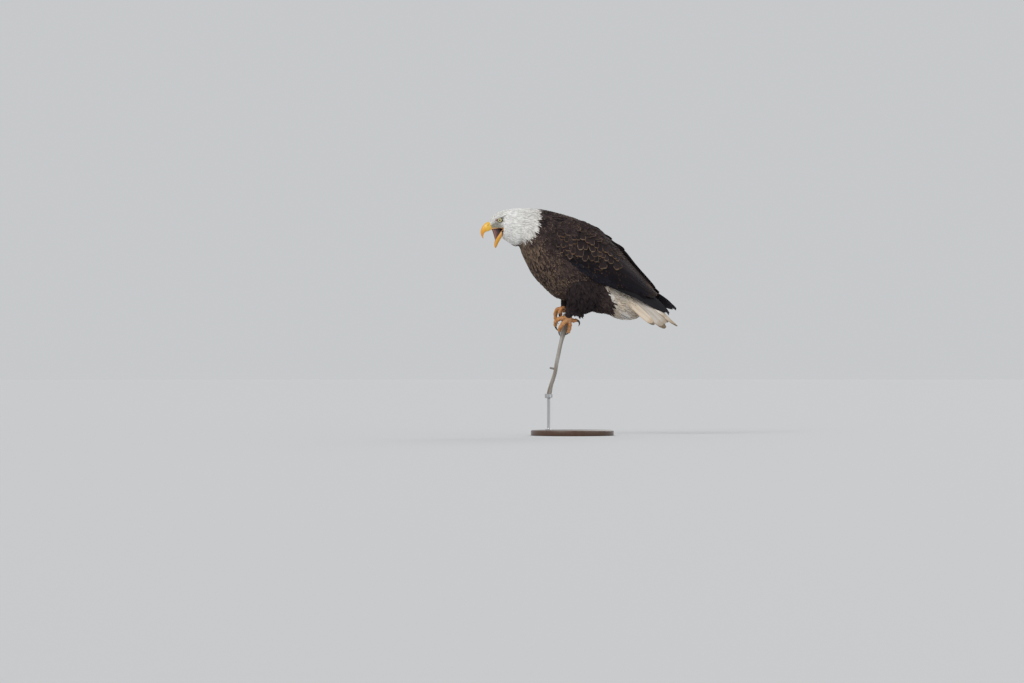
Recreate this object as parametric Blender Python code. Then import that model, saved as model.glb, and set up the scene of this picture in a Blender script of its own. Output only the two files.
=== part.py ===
"""A life-size bald eagle that leans forward and calls from the top of a dead branch, on a display stand.

Metres, +Z up. The bird faces -Y and its left side is +X. The origin is the centre of the stand base's
underside. All of the bird and the branch are placed from the grip, the point on the branch's axis just under
the feet, which the parent empty "grip" holds.
"""

import math

import bmesh
import bpy
import numpy as np
from mathutils import Matrix, Vector

# ---------------------------------------------------------------- driving dimensions
GRIP = Vector((0.0, -0.030, 0.412))  # the grip above the origin
GAP = 0.0004  # between neighbours that touch
CUT = 0.0008  # how much larger a cutter is than the piece it makes room for
SIDES = {"left": 1, "right": -1}

# The body is one tube through these stations, from the face to the tail's root. Each row gives the ring's
# topmost point (y, z), its lowest point (y, z), its half width, and how far down the ring is widest (0 to 1).
BODY = np.array(
    [
        # top y, top z, low y, low z, half width, widest
        (-0.3132, 0.4641, -0.3026, 0.4346, 0.0158, 0.58),  # 0 root of the bill
        (-0.2977, 0.4863, -0.2870, 0.4362, 0.0240, 0.60),  # 1 lores
        (-0.2796, 0.4994, -0.2714, 0.4362, 0.0320, 0.56),  # 2 front of the eye
        (-0.2624, 0.5068, -0.2591, 0.4285, 0.0365, 0.52),  # 3 corner of the gape
        (-0.2419, 0.5129, -0.2560, 0.3975, 0.0400, 0.52),  # 4 cheek and chin
        (-0.2169, 0.5166, -0.2370, 0.3830, 0.0440, 0.52),  # 5 back of the head
        (-0.1886, 0.5187, -0.2185, 0.3705, 0.0505, 0.52),  # 6 neck
        (-0.1599, 0.5190, -0.2035, 0.3650, 0.0580, 0.52),  # 7 neck
        (-0.1136, 0.5166, -0.1870, 0.3635, 0.0700, 0.52),  # 8 end of the white neck
        (-0.0738, 0.5105, -0.1743, 0.3301, 0.0850, 0.52),  # 9 shoulders
        (-0.0328, 0.5002, -0.1579, 0.2952, 0.0990, 0.52),  # 10 crop
        (0.0164, 0.4870, -0.1312, 0.2460, 0.1110, 0.54),  # 11 breast
        (0.0697, 0.4660, -0.0902, 0.1997, 0.1160, 0.56),  # 12 breast
        (0.1107, 0.4360, -0.0400, 0.1560, 0.1120, 0.55),  # 13 belly
        (0.1435, 0.3960, 0.0150, 0.1400, 0.1020, 0.54),  # 14 belly, between the thighs
        (0.1681, 0.3500, 0.0720, 0.1180, 0.0880, 0.54),  # 15 between the thighs
        (0.1845, 0.3050, 0.1270, 0.0980, 0.0740, 0.56),  # 16 vent
        (0.1968, 0.2680, 0.1763, 0.0900, 0.0600, 0.58),  # 17 end of the brown vent
        (0.2150, 0.2350, 0.2180, 0.0730, 0.0500, 0.58),  # 18 tail coverts
        (0.2460, 0.2030, 0.2580, 0.0690, 0.0390, 0.56),  # 19 tail coverts
        (0.2850, 0.1700, 0.2910, 0.0750, 0.0270, 0.54),  # 20 tail coverts
        (0.3130, 0.1400, 0.3160, 0.0960, 0.0120, 0.52),  # 21 tips of the tail coverts
    ]
)
HEAD_SPAN, NECK_SPAN, TRUNK_SPAN, COVERT_SPAN = (0.0, 5.0), (5.0, 8.0), (8.0, 17.0), (17.0, 21.0)
BODY_SIDES = 20  # points round each body ring
TRUNK_PLACES = np.linspace(TRUNK_SPAN[0], TRUNK_SPAN[1] - 0.010, 14)

# The head looks a little to the bird's left: everything ahead of NECK_PIVOT turns with it.
HEAD_TURN = math.radians(8.0)
NECK_PIVOT, HEAD_ROOT = -0.120, -0.230  # y where the turn begins, and where it is complete

EYE = Vector((0.0248, -0.2702, 0.4695))  # the left eye's centre before the head turns
EYE_RADIUS = 0.0112
BROW_HEIGHT = 0.0052  # how far the bony brow stands over the eye
SOCKET_DEPTH = 0.0060

# Both halves of the bill are tubes of the same kind: top, low point, half width, widest.
BILL_UPPER = np.array(
    [
        (-0.3143, 0.4637, -0.3052, 0.4312, 0.0152, 0.60),  # root, against the face
        (-0.3271, 0.4583, -0.3175, 0.4255, 0.0146, 0.62),
        (-0.3383, 0.4481, -0.3258, 0.4230, 0.0126, 0.60),
        (-0.3449, 0.4370, -0.3325, 0.4187, 0.0104, 0.56),
        (-0.3483, 0.4250, -0.3361, 0.4122, 0.0082, 0.52),
        (-0.3473, 0.4131, -0.3374, 0.4062, 0.0060, 0.50),
        (-0.3435, 0.4028, -0.3372, 0.3998, 0.0036, 0.50),
        (-0.3382, 0.3946, -0.3367, 0.3941, 0.0011, 0.50),  # tip of the hook
    ]
)
BILL_LOWER = np.array(
    [
        (-0.2657, 0.4250, -0.2579, 0.4097, 0.0175, 0.45),  # root, in the corner of the gape
        (-0.2717, 0.4148, -0.2605, 0.4011, 0.0165, 0.45),
        (-0.2800, 0.4028, -0.2670, 0.3900, 0.0145, 0.45),
        (-0.2865, 0.3909, -0.2736, 0.3789, 0.0120, 0.45),
        (-0.2899, 0.3772, -0.2784, 0.3687, 0.0090, 0.46),
        (-0.2909, 0.3652, -0.2826, 0.3601, 0.0060, 0.48),
        (-0.2882, 0.3568, -0.2862, 0.3562, 0.0020, 0.50),  # tip
    ]
)
PALATE_DISH, JAW_DISH = 0.50, 0.60  # how far each half's inner face is hollowed, as a share of its height
ROOF_DISH, ROOF_END = 0.40, 3.3  # the same for the head's underside, back to this station

# The skin of the cheeks stretches between the jaws as a pocket. Rows from the upper jaw to the lower: front
# edge (y, z), rear (y, z), half width.
MOUTH = np.array(
    [
        (-0.3010, 0.4325, -0.2640, 0.4318, 0.0125),
        (-0.2960, 0.4225, -0.2610, 0.4280, 0.0138),
        (-0.2925, 0.4110, -0.2615, 0.4235, 0.0144),
        (-0.2890, 0.3980, -0.2645, 0.4190, 0.0132),
        (-0.2880, 0.3900, -0.2670, 0.4120, 0.0115),
    ]
)
MOUTH_SKIN = 0.0016

# Rows of a folded wing, from the wrist to the tips: upper edge (x, y, z), lower edge (x, y, z), and how far
# the wing bulges outwards between them.
WING = np.array(
    [
        (0.092, -0.0690, 0.4080, 0.096, -0.0700, 0.3880, 0.004),  # wrist
        (0.076, -0.0470, 0.4500, 0.106, -0.0540, 0.3500, 0.018),
        (0.060, 0.0082, 0.4720, 0.112, 0.0041, 0.3034, 0.030),
        (0.045, 0.0656, 0.4650, 0.108, 0.0697, 0.2575, 0.041),
        (0.031, 0.1169, 0.4455, 0.099, 0.1312, 0.2214, 0.047),
        (0.020, 0.1599, 0.4141, 0.087, 0.1840, 0.2030, 0.046),
        (0.012, 0.2009, 0.3731, 0.075, 0.2337, 0.1920, 0.041),
        (0.008, 0.2419, 0.3260, 0.063, 0.2829, 0.1790, 0.032),
        (0.006, 0.2829, 0.2788, 0.053, 0.3239, 0.1620, 0.023),
        (0.006, 0.3280, 0.2255, 0.042, 0.3540, 0.1500, 0.014),
        (0.008, 0.3700, 0.1780, 0.026, 0.3780, 0.1540, 0.004),  # tips of the secondaries
    ]
)
WING_THICKNESS = (0.024, 0.0045)  # at the wrist and at the tips
PRIMARIES = np.array(
    [
        (0.068, 0.1500, 0.2700, 0.080, 0.1620, 0.2080, 0.004),  # under the secondaries
        (0.052, 0.2255, 0.2419, 0.068, 0.2337, 0.1870, 0.005),
        (0.031, 0.2911, 0.2091, 0.051, 0.2952, 0.1700, 0.004),
        (0.013, 0.3485, 0.1763, 0.031, 0.3485, 0.1420, 0.003),
        (0.007, 0.3895, 0.1456, 0.018, 0.3895, 0.1170, 0.002),
        (0.006, 0.4150, 0.1160, 0.010, 0.4174, 0.0975, 0.000),
        (0.006, 0.4255, 0.0965, 0.007, 0.4262, 0.0915, 0.000),  # wing tip
    ]
)
PRIMARIES_THICKNESS = (0.0055, 0.0030)
# The right wing is carried a little higher and further back than the left one, its primaries most of all, and
# the ends of its inner feathers stand off the back.
RIGHT_WING_SHIFT = np.array((0.0, 0.009, 0.008))
RIGHT_PRIMARIES_SHIFT = np.array((0.0, 0.029, 0.019))
WING_ROOT_Y, PRIMARIES_ROOT_Y, WING_TIP_Y = -0.07, 0.16, 0.42  # each shift grows from its root to the tip
TERTIALS_STAND_OFF, TERTIALS_AT = np.array((0.0, 0.006, 0.005)), 6.8  # and the wing's row where they end

TAIL_ROOT = Vector((0.0, 0.2090, 0.2320))
TAIL_SLOPE = math.radians(37.4)  # below the horizon
TAIL_LENGTH, TAIL_SHORTENING = 0.304, 0.049  # of the middle feathers, and how much shorter the outer ones are
TAIL_BOW = 0.012  # how far the middle feathers arch upwards along their length
TAIL_HALF_WIDTH = (0.018, 0.066)  # at the root and at the tips
TAIL_DROP = (0.012, 0.062)  # how far the outer feathers hang below the middle ones, at the root and the tips
TAIL_FEATHERS = 12
TAIL_THICKNESS = (0.0090, 0.0026)
TAIL_SCALLOP = 0.006  # depth of the notch between two feather tips

# A thigh is a tube with level rings: front point (y, z), rear point (y, z), centre x, half width.
THIGH = np.array(
    [
        (0.0050, 0.2480, 0.1230, 0.2480, 0.052, 0.040),  # hip, inside the flank
        (-0.0020, 0.2173, 0.1400, 0.2091, 0.061, 0.045),
        (0.0020, 0.1720, 0.1480, 0.1560, 0.060, 0.043),
        (0.0060, 0.1360, 0.1320, 0.1130, 0.052, 0.034),
        (0.0095, 0.1130, 0.1000, 0.0950, 0.043, 0.026),
        (0.0110, 0.1000, 0.0720, 0.0850, 0.037, 0.020),  # hem of the trousers
    ]
)
RIGHT_LEG_SHIFT = np.array((-0.003, -0.026, 0.036))  # at the foot: the right one holds on higher up and ahead
LEG_LENGTH = 0.16  # from the hip's ring down to the hem, over which that shift grows
SHANK_TOP = Vector((0.042, 0.024, 0.124))  # the axis of the left shank where it leaves the thigh
TARSUS_RADIUS = (0.0200, 0.0130)

# The branch, as points of its axis (y, z) with its radius, from the broken top down to the cut.
BRANCH = np.array(
    [
        (0.0070, 0.0880, 0.0110),
        (0.0060, 0.0780, 0.0132),
        (0.0000, 0.0400, 0.0136),
        (-0.0060, 0.0150, 0.0128),
        (-0.0115, -0.0100, 0.0092),
        (-0.0215, -0.0550, 0.0078),
        (-0.0345, -0.1120, 0.0076),
        (-0.0410, -0.1520, 0.0080),
        (-0.0580, -0.2100, 0.0086),
        (-0.0670, -0.2550, 0.0096),
    ]
)
STUB_AT, STUB_LENGTH, STUB_RADIUS = 6.7, 0.017, 0.0042  # a broken side twig, by its place along the branch

# Each toe's joints in cylindrical coordinates about the branch's axis: (turn in degrees from +X, radius, z).
# The talon goes on from the last joint, and bends through the angle given first.
TOES = {
    ("left", 1): (
        145,
        [(52, 0.0300, 0.0600), (60, 0.0385, 0.0590), (66, 0.0475, 0.0625)],
    ),
    ("left", 2): (
        85,
        [(-28, 0.0340, 0.069), (-51, 0.0390, 0.064), (-70, 0.0425, 0.054), (-83, 0.0400, 0.041)],
    ),
    ("left", 3): (
        60,
        [(-2, 0.0335, 0.055), (-18, 0.0340, 0.044), (-29, 0.0330, 0.032), (-38, 0.0300, 0.020)],
    ),
    ("left", 4): (
        75,
        [(29, 0.0325, 0.053), (38, 0.0310, 0.040), (46, 0.0290, 0.026), (52, 0.0260, 0.013)],
    ),
    ("right", 1): (
        95,
        [(150, 0.0240, 0.100), (160, 0.0350, 0.094), (170, 0.0380, 0.083)],
    ),
    ("right", 2): (
        70,
        [(-50, 0.0180, 0.109), (-53, 0.0290, 0.105), (-60, 0.0330, 0.093)],
    ),
    ("right", 3): (
        70,
        [(-102, 0.0220, 0.108), (-102, 0.0390, 0.103), (-106, 0.0470, 0.087), (-112, 0.0460, 0.068)],
    ),
    ("right", 4): (
        60,
        [(-140, 0.0240, 0.107), (-142, 0.0390, 0.100), (-144, 0.0420, 0.085), (-148, 0.0380, 0.069)],
    ),
}
TOE_RADIUS = {1: 0.0086, 2: 0.0084, 3: 0.0086, 4: 0.0080}
TALON_LENGTH = {1: 0.042, 2: 0.034, 3: 0.031, 4: 0.027}
TALON_RADIUS = {1: 0.0062, 2: 0.0054, 3: 0.0050, 4: 0.0047}
FOOT_PADS = {
    # centre as (turn in degrees, radius, z) about the branch, and the pad's three radii
    "left": ((15, 0.0300, 0.0680), (0.0140, 0.0175, 0.0170)),
    "right": ((-125, 0.0130, 0.1040), (0.0160, 0.0165, 0.0130)),
}

BASE_RADIUS, BASE_HEIGHT = 0.170, 0.022
ROD_RADIUS, FLANGE_RADIUS, FLANGE_HEIGHT = 0.0060, 0.0160, 0.0030
COLLAR_BORE, COLLAR_HEIGHT = 0.0127, 0.014  # the ring that the branch's cut end stands in

# colour, roughness and metallic value of each finish
FINISHES = {
    "white_plumage": ((0.80, 0.79, 0.76), 0.85, 0.0),
    "brown_plumage": ((0.055, 0.036, 0.028), 0.80, 0.0),
    "flight_feathers": ((0.022, 0.018, 0.020), 0.60, 0.0),
    "tail_feathers": ((0.70, 0.66, 0.58), 0.80, 0.0),
    "yellow_bill": ((0.85, 0.42, 0.06), 0.35, 0.0),
    "yellow_skin": ((0.72, 0.42, 0.08), 0.55, 0.0),
    "talon_horn": ((0.015, 0.014, 0.014), 0.25, 0.0),
    "eye": ((0.62, 0.58, 0.30), 0.08, 0.0),
    "mouth": ((0.16, 0.035, 0.050), 0.40, 0.0),
    "weathered_wood": ((0.38, 0.35, 0.32), 0.85, 0.0),
    "stand_wood": ((0.10, 0.055, 0.030), 0.45, 0.0),
    "stand_steel": ((0.32, 0.32, 0.33), 0.30, 1.0),
}


# ---------------------------------------------------------------- curves and frames
def along(table, places):
    """The table's rows at fractional places, on a smooth curve through them (Catmull-Rom)."""
    places = np.clip(np.asarray(places, float), 0, len(table) - 1)
    first = np.minimum(places.astype(int), len(table) - 2)
    t = (places - first)[:, None]
    before, here = table[np.maximum(first - 1, 0)], table[first]
    there, after = table[first + 1], table[np.minimum(first + 2, len(table) - 1)]
    return 0.5 * (
        2 * here
        + (there - before) * t
        + (2 * before - 5 * here + 4 * there - after) * t**2
        + (3 * here - before - 3 * there + after) * t**3
    )


def smoothstep(x, low, high):
    """0 at low, 1 at high, with a smooth rise between."""
    t = np.clip((x - low) / (high - low), 0, 1)
    return t * t * (3 - 2 * t)


def turn_head(points):
    """Turns what lies ahead of the neck about a vertical through the pivot, more and more up to the head."""
    angle = HEAD_TURN * smoothstep(points[..., 1], NECK_PIVOT, HEAD_ROOT)
    x, y = points[..., 0], points[..., 1] - NECK_PIVOT
    turned = points.copy()
    turned[..., 0] = x * np.cos(angle) - y * np.sin(angle)
    turned[..., 1] = x * np.sin(angle) + y * np.cos(angle) + NECK_PIVOT
    return turned


def about_branch(turn, radius, z):
    """A point at that turn and radius about the branch's axis, at the height z."""
    axis_y = np.interp(-z, -BRANCH[:, 1], BRANCH[:, 0])
    angle = math.radians(turn)
    return np.array((radius * math.cos(angle), axis_y + radius * math.sin(angle), z))


# ---------------------------------------------------------------- closed meshes
def finish_material(name):
    """The finish as a Principled material, made once."""
    material = bpy.data.materials.get(name)
    if material is None:
        colour, roughness, metallic = FINISHES[name]
        material = bpy.data.materials.new(name)
        material.use_nodes = True
        shader = material.node_tree.nodes["Principled BSDF"]
        shader.inputs["Base Color"].default_value = (*colour, 1.0)
        shader.inputs["Roughness"].default_value = roughness
        shader.inputs["Metallic"].default_value = metallic
    return material


def add_object(name, bm, finish, smooth_angle=50.0, helper=False):
    """Makes the bmesh an object under the grip, with outward normals. A helper is left out of the model."""
    bmesh.ops.recalc_face_normals(bm, faces=bm.faces)
    mesh = bpy.data.meshes.new(name)
    bm.to_mesh(mesh)
    bm.free()
    mesh.shade_smooth()
    mesh.set_sharp_from_angle(angle=math.radians(smooth_angle))
    mesh.materials.append(finish_material(finish))
    made = bpy.data.objects.new(name, mesh)
    bpy.context.scene.collection.objects.link(made)
    made.parent = bpy.data.objects["grip"]
    if helper:
        made.hide_render = True
        made.display_type = "WIRE"
    return made


def loft(rings, closed=False):
    """A bmesh tube through rings of equal count, an array (rings, points, 3). A closed one runs on from its
    last ring to its first, and an open one has a fan over each end. Its diagonals all run one way, so that a
    piece and its larger cutter have the same facets."""
    bm = bmesh.new()
    loops = [[bm.verts.new(p) for p in ring] for ring in rings]
    count = len(loops[0])
    for loop, following in zip(loops, loops[1:] + loops[:1] * closed):
        for i in range(count):
            j = (i + 1) % count
            bm.faces.new((loop[i], loop[j], following[j]))
            bm.faces.new((loop[i], following[j], following[i]))
    if closed:
        return bm
    for loop, ring in ((loops[0], rings[0]), (loops[-1], rings[-1])):
        middle = bm.verts.new(np.mean(ring, axis=0))
        for i in range(count):
            bm.faces.new((loop[i], loop[(i + 1) % count], middle))
    return bm


def slab(outer, inner):
    """A bmesh plate between two grids of equal shape (rows, columns, 3), closed round its rim."""
    bm = bmesh.new()
    rows, columns = outer.shape[:2]
    faces = [[[bm.verts.new(p) for p in row] for row in grid] for grid in (outer, inner)]
    for face, sign in zip(faces, (1, -1)):
        for i in range(rows - 1):
            for j in range(columns - 1):
                near, beside = face[i][j], face[i][j + 1]
                behind, across = face[i + 1][j], face[i + 1][j + 1]
                bm.faces.new((near, behind, across)[::sign])
                bm.faces.new((near, across, beside)[::sign])
    rim = [(i, 0) for i in range(rows)] + [(rows - 1, j) for j in range(1, columns)]
    rim += [(i, columns - 1) for i in range(rows - 2, -1, -1)] + [(0, j) for j in range(columns - 2, 0, -1)]
    for (a, b), (c, d) in zip(rim, rim[1:] + rim[:1]):
        bm.faces.new((faces[0][a][b], faces[0][c][d], faces[1][c][d], faces[1][a][b]))
    return bm


def tube_rings(path, radii, sides, round_ends=(True, True)):
    """Rings carried along a path without twist. A round end closes in like the cap of a capsule."""
    path, radii = np.asarray(path, float), np.asarray(radii, float)
    tangents = np.gradient(path, axis=0)
    tangents /= np.linalg.norm(tangents, axis=1)[:, None]
    side = np.cross(tangents[0], (0.0, 0.3, 1.0) if abs(tangents[0][2]) < 0.9 else (1.0, 0.0, 0.0))
    side /= np.linalg.norm(side)
    sections = []
    for point, tangent, radius in zip(path, tangents, radii):
        side = side - tangent * (side @ tangent)
        side /= np.linalg.norm(side)
        sections.append((point, side, np.cross(tangent, side), tangent, radius))
    caps = ((0.30, 0.955), (0.75, 0.66))  # how far back along the end's radius, and the share of the radius
    if round_ends[0]:
        point, a, b, tangent, radius = sections[0]
        sections[:1] = [(point + tangent * radius * (1 - s), a, b, tangent, radius * share)
                        for s, share in ((1 - 0.08, 0.5), (1 - 0.35, 0.85), (0.0, 1.0))]
    if round_ends[1]:
        point, a, b, tangent, radius = sections[-1]
        sections[-1:] = [(point - tangent * radius * (1 - s), a, b, tangent, radius * share)
                         for s, share in ((0.0, 1.0), caps[0], caps[1])]
    angles = np.linspace(0, math.tau, sides, endpoint=False)
    return np.array(
        [p + r * (np.outer(np.cos(angles), a) + np.outer(np.sin(angles), b)) for p, a, b, _, r in sections]
    )


def cut_away(piece, cutter):
    """The piece loses what the cutter covers."""
    modifier = piece.modifiers.new(f"less {cutter.name}", "BOOLEAN")
    modifier.operation = "DIFFERENCE"
    modifier.solver = "EXACT"
    modifier.object = cutter


# ---------------------------------------------------------------- head, neck and trunk
def body_rings(table, places, sides, swell=0.0, top_dish=0.0, low_dish=0.0, filled=False):
    """Rings between each station's top and low points. Widths follow a sine round the ring, and the height a
    cosine that is bent so that the ring is widest where its row says. A dish, one value or one for each ring,
    hollows the top or the low side between two rims that stay at the full height. filled levels the top dish
    off at its rims, for a cutter.
    """
    rows = along(table, places)
    angle = np.linspace(0, math.tau, sides, endpoint=False)[None, :]
    down = (1 - np.cos(angle)) / 2
    down = down + (rows[:, 5:6] - 0.5) * 4 * down * (1 - down)
    hollow = np.broadcast_to(np.reshape(low_dish, (-1, 1)), (len(rows), 1))
    down = down + top_dish * np.clip(np.cos(angle), 0, 1) ** 6 - hollow * np.clip(-np.cos(angle), 0, 1) ** 6
    low_rim, top_rim = down.max(axis=1, keepdims=True), down.min(axis=1, keepdims=True)
    down = (down - top_rim) / (low_rim - top_rim)
    if filled:
        down = np.where(np.cos(angle) > 0.7, 0.0, down)
    top, low = rows[:, None, 0:2], rows[:, None, 2:4]
    height = np.linalg.norm(low - top, axis=2, keepdims=True)
    reach = (low - top) / height * swell
    side_view = (top - reach) + (low - top + 2 * reach) * down[..., None]
    width = (rows[:, 4:5] + swell) * np.sin(angle)
    return np.concatenate([width[..., None], side_view], axis=2)


def shape_face(rings):
    """Raises the brow over each eye and sinks the socket round it, on rings that aren't turned yet."""
    shaped = rings.copy()
    y, z = rings[..., 1] - EYE.y, rings[..., 2] - EYE.z
    outward = np.sign(rings[..., 0]) * smoothstep(np.abs(rings[..., 0]), 0.006, 0.020)
    # the brow runs from over the eye forwards and down to the root of the bill
    brow = np.exp(-(((z - 0.0125 - 0.42 * y) / 0.0055) ** 2) - ((y + 0.006) / 0.022) ** 2)
    socket = np.exp(-((z / 0.0095) ** 2) - ((y + 0.001) / 0.0115) ** 2)
    lores = np.exp(-(((z + 0.010) / 0.012) ** 2) - ((y + 0.024) / 0.012) ** 2)
    shaped[..., 0] += outward * (BROW_HEIGHT * brow - SOCKET_DEPTH * socket - 0.003 * lores)
    return shaped


def make_body():
    """Head, neck, trunk and tail coverts: four lengths of one tube, parted by thin cuts."""
    places = np.linspace(0.03, HEAD_SPAN[1] - 0.012, 16)
    roof = ROOF_DISH * (1 - smoothstep(places, ROOF_END - 1.5, ROOF_END))
    head_rings = shape_face(body_rings(BODY, places, BODY_SIDES, low_dish=roof))
    head = add_object("head", loft(turn_head(head_rings)), "white_plumage")
    neck_rings = body_rings(BODY, np.linspace(NECK_SPAN[0], NECK_SPAN[1] - 0.006, 5), BODY_SIDES)
    add_object("neck", loft(turn_head(neck_rings)), "white_plumage")
    trunk_rings = body_rings(BODY, TRUNK_PLACES, BODY_SIDES)
    trunk = add_object("trunk", loft(turn_head(trunk_rings)), "brown_plumage")
    covert_rings = body_rings(BODY, np.linspace(COVERT_SPAN[0] + 0.006, COVERT_SPAN[1], 7), BODY_SIDES)
    coverts = add_object("tail_coverts", loft(covert_rings), "white_plumage")
    return head, trunk, coverts


def make_eyes(head):
    """Two eyeballs, and the round sockets that the head keeps for them."""
    for side, sign in SIDES.items():
        centre = turn_head(np.array((EYE.x * sign, EYE.y, EYE.z)))
        balls = ((f"eye_{side}", EYE_RADIUS, False), (f"socket_{side}", EYE_RADIUS + GAP, True))
        for name, radius, helper in balls:
            bm = bmesh.new()
            bmesh.ops.create_uvsphere(bm, u_segments=12, v_segments=8, radius=radius)
            bmesh.ops.transform(bm, matrix=Matrix.Translation(centre), verts=bm.verts)
            made = add_object(name, bm, "eye", helper=helper)
        cut_away(head, made)


def make_bill(head):
    """The hooked upper half, the dropped lower half and the tongue. The head gives way to the lower half."""
    upper = body_rings(BILL_UPPER, np.linspace(0, len(BILL_UPPER) - 1, 10), 16, low_dish=PALATE_DISH)
    add_object("bill_upper", loft(turn_head(upper)), "yellow_bill")
    places = np.linspace(0, len(BILL_LOWER) - 1, 9)
    lower = body_rings(BILL_LOWER, places, 16, top_dish=JAW_DISH)
    add_object("bill_lower", loft(turn_head(lower)), "yellow_bill")
    room = body_rings(BILL_LOWER, places, 16, swell=CUT, top_dish=JAW_DISH, filled=True)
    cut_away(head, add_object("bill_room", loft(turn_head(room)), "mouth", helper=True))
    make_tongue()
    make_mouth(head)


def make_tongue():
    """A tongue that lies in the lower half, clear of its floor, and rises towards its tip."""
    rows = along(BILL_LOWER, np.linspace(0.35, 3.4, 7))
    share = np.linspace(0, 1, len(rows))
    half_width = 0.0066 * np.sqrt(np.clip(1.02 - share**3, 0, 1)) + 0.0006
    half_height = 0.0020 + 0.0014 * (1 - share)
    across = rows[:, 2:4] - rows[:, 0:2]
    depth = np.linalg.norm(across, axis=1)[:, None]
    across /= depth
    middle = rows[:, 0:2] + across * depth * (0.16 - 0.10 * share[:, None])
    angle = np.linspace(0, math.tau, 10, endpoint=False)
    side_view = middle[:, None, :] + across[:, None, :] * (half_height[:, None] * np.cos(angle))[..., None]
    width = half_width[:, None] * np.sin(angle)
    add_object("tongue", loft(turn_head(np.concatenate([width[..., None], side_view], axis=2))), "mouth")


def make_mouth(head):
    """The skin at the back of the open mouth: a sheet bent to a U round the gape, from one cheek's front edge
    back to the throat and forward to the other's."""
    bend = np.linspace(-1, 1, 11)
    rows = along(MOUTH, np.linspace(0, len(MOUTH) - 1, 5))[:, None, :]
    ahead = (np.abs(bend) ** 1.5)[None, :, None]

    def sheet(inwards):
        side_view = rows[..., 2:4] + (rows[..., 0:2] - rows[..., 2:4]) * ahead
        side_view[..., 0] -= inwards * (1 - ahead[..., 0])
        x = (rows[..., 4] - inwards) * np.sin(np.clip(bend * 2.2, -math.pi / 2, math.pi / 2))
        return turn_head(np.concatenate([x[..., None], side_view], axis=2))

    lining = add_object("mouth_lining", slab(sheet(0.0), sheet(MOUTH_SKIN)), "mouth")
    cut_away(lining, bpy.data.objects["bill_room"])
    room = add_object("mouth_room", slab(sheet(-CUT), sheet(MOUTH_SKIN + CUT)), "mouth", helper=True)
    cut_away(head, room)


# ---------------------------------------------------------------- wings and tail
def wing_slab(table, thickness, rows, columns, side, grow_out=0.0, grow=0.0):
    """A curved plate between the table's two edges. Its bulge follows a sine across, and its thickness runs
    from the first value to the second along it and thins to a quarter at both edges. grow enlarges it inwards
    and past its edges, and grow_out pushes its outer face outwards, for a cutter.
    """
    stations = along(table, np.linspace(0, len(table) - 1, rows))
    across = np.linspace(0, 1, columns)[None, :, None]
    upper, lower = stations[:, None, 0:3], stations[:, None, 3:6]
    spread = (lower - upper) / np.linalg.norm(lower - upper, axis=2, keepdims=True) * grow
    outer = (upper - spread) + (lower - upper + 2 * spread) * across
    swelling = np.sin(math.pi * across[..., 0]) ** 0.85
    outer[..., 0] += stations[:, 6:7] * swelling
    depth = np.linspace(thickness[0], thickness[1], rows)[:, None] * (0.25 + 0.75 * swelling)
    inner = outer.copy()
    inner[..., 0] -= depth + grow
    outer[..., 0] += grow_out
    if grow:
        for face in (outer, inner):
            face[0] += (face[0] - face[1]) * 0.05
            face[-1] += (face[-1] - face[-2]) * 0.05
    if side == "right":
        outer, inner = (right_side(face, table, rows) for face in (outer, inner))
    return slab(outer, inner)


def right_side(face, table, rows):
    """Mirrors a left wing's face, and carries it back and up as the right wing is."""
    primaries = table is PRIMARIES
    root, shift = (PRIMARIES_ROOT_Y, RIGHT_PRIMARIES_SHIFT) if primaries else (WING_ROOT_Y, RIGHT_WING_SHIFT)
    moved = face * np.array((-1.0, 1.0, 1.0)) + smoothstep(face[..., 1:2], root, WING_TIP_Y) * shift
    if not primaries:
        place = np.linspace(0, len(table) - 1, rows)[:, None, None]
        near_edge = np.linspace(1, 0, face.shape[1])[None, :, None] ** 3
        moved = moved + np.exp(-(((place - TERTIALS_AT) / 0.9) ** 2)) * near_edge * TERTIALS_STAND_OFF
    return moved


def make_wings():
    """Each folded wing is the arm with its coverts and secondaries, and the primaries that show under it.
    Returns the cutters that make room for them."""
    cutters = []
    for side in SIDES:
        add_object(f"wing_{side}", wing_slab(WING, WING_THICKNESS, 14, 7, side), "brown_plumage")
        blade = wing_slab(PRIMARIES, PRIMARIES_THICKNESS, 9, 4, side)
        primaries = add_object(f"primaries_{side}", blade, "flight_feathers")
        wing_room = wing_slab(WING, WING_THICKNESS, 14, 7, side, grow_out=0.030, grow=CUT)
        wing_room = add_object(f"wing_room_{side}", wing_room, "brown_plumage", helper=True)
        cut_away(primaries, wing_room)
        room = wing_slab(PRIMARIES, PRIMARIES_THICKNESS, 9, 4, side, grow_out=0.012, grow=CUT)
        cutters += [wing_room, add_object(f"primaries_room_{side}", room, "flight_feathers", helper=True)]
    return cutters


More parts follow.
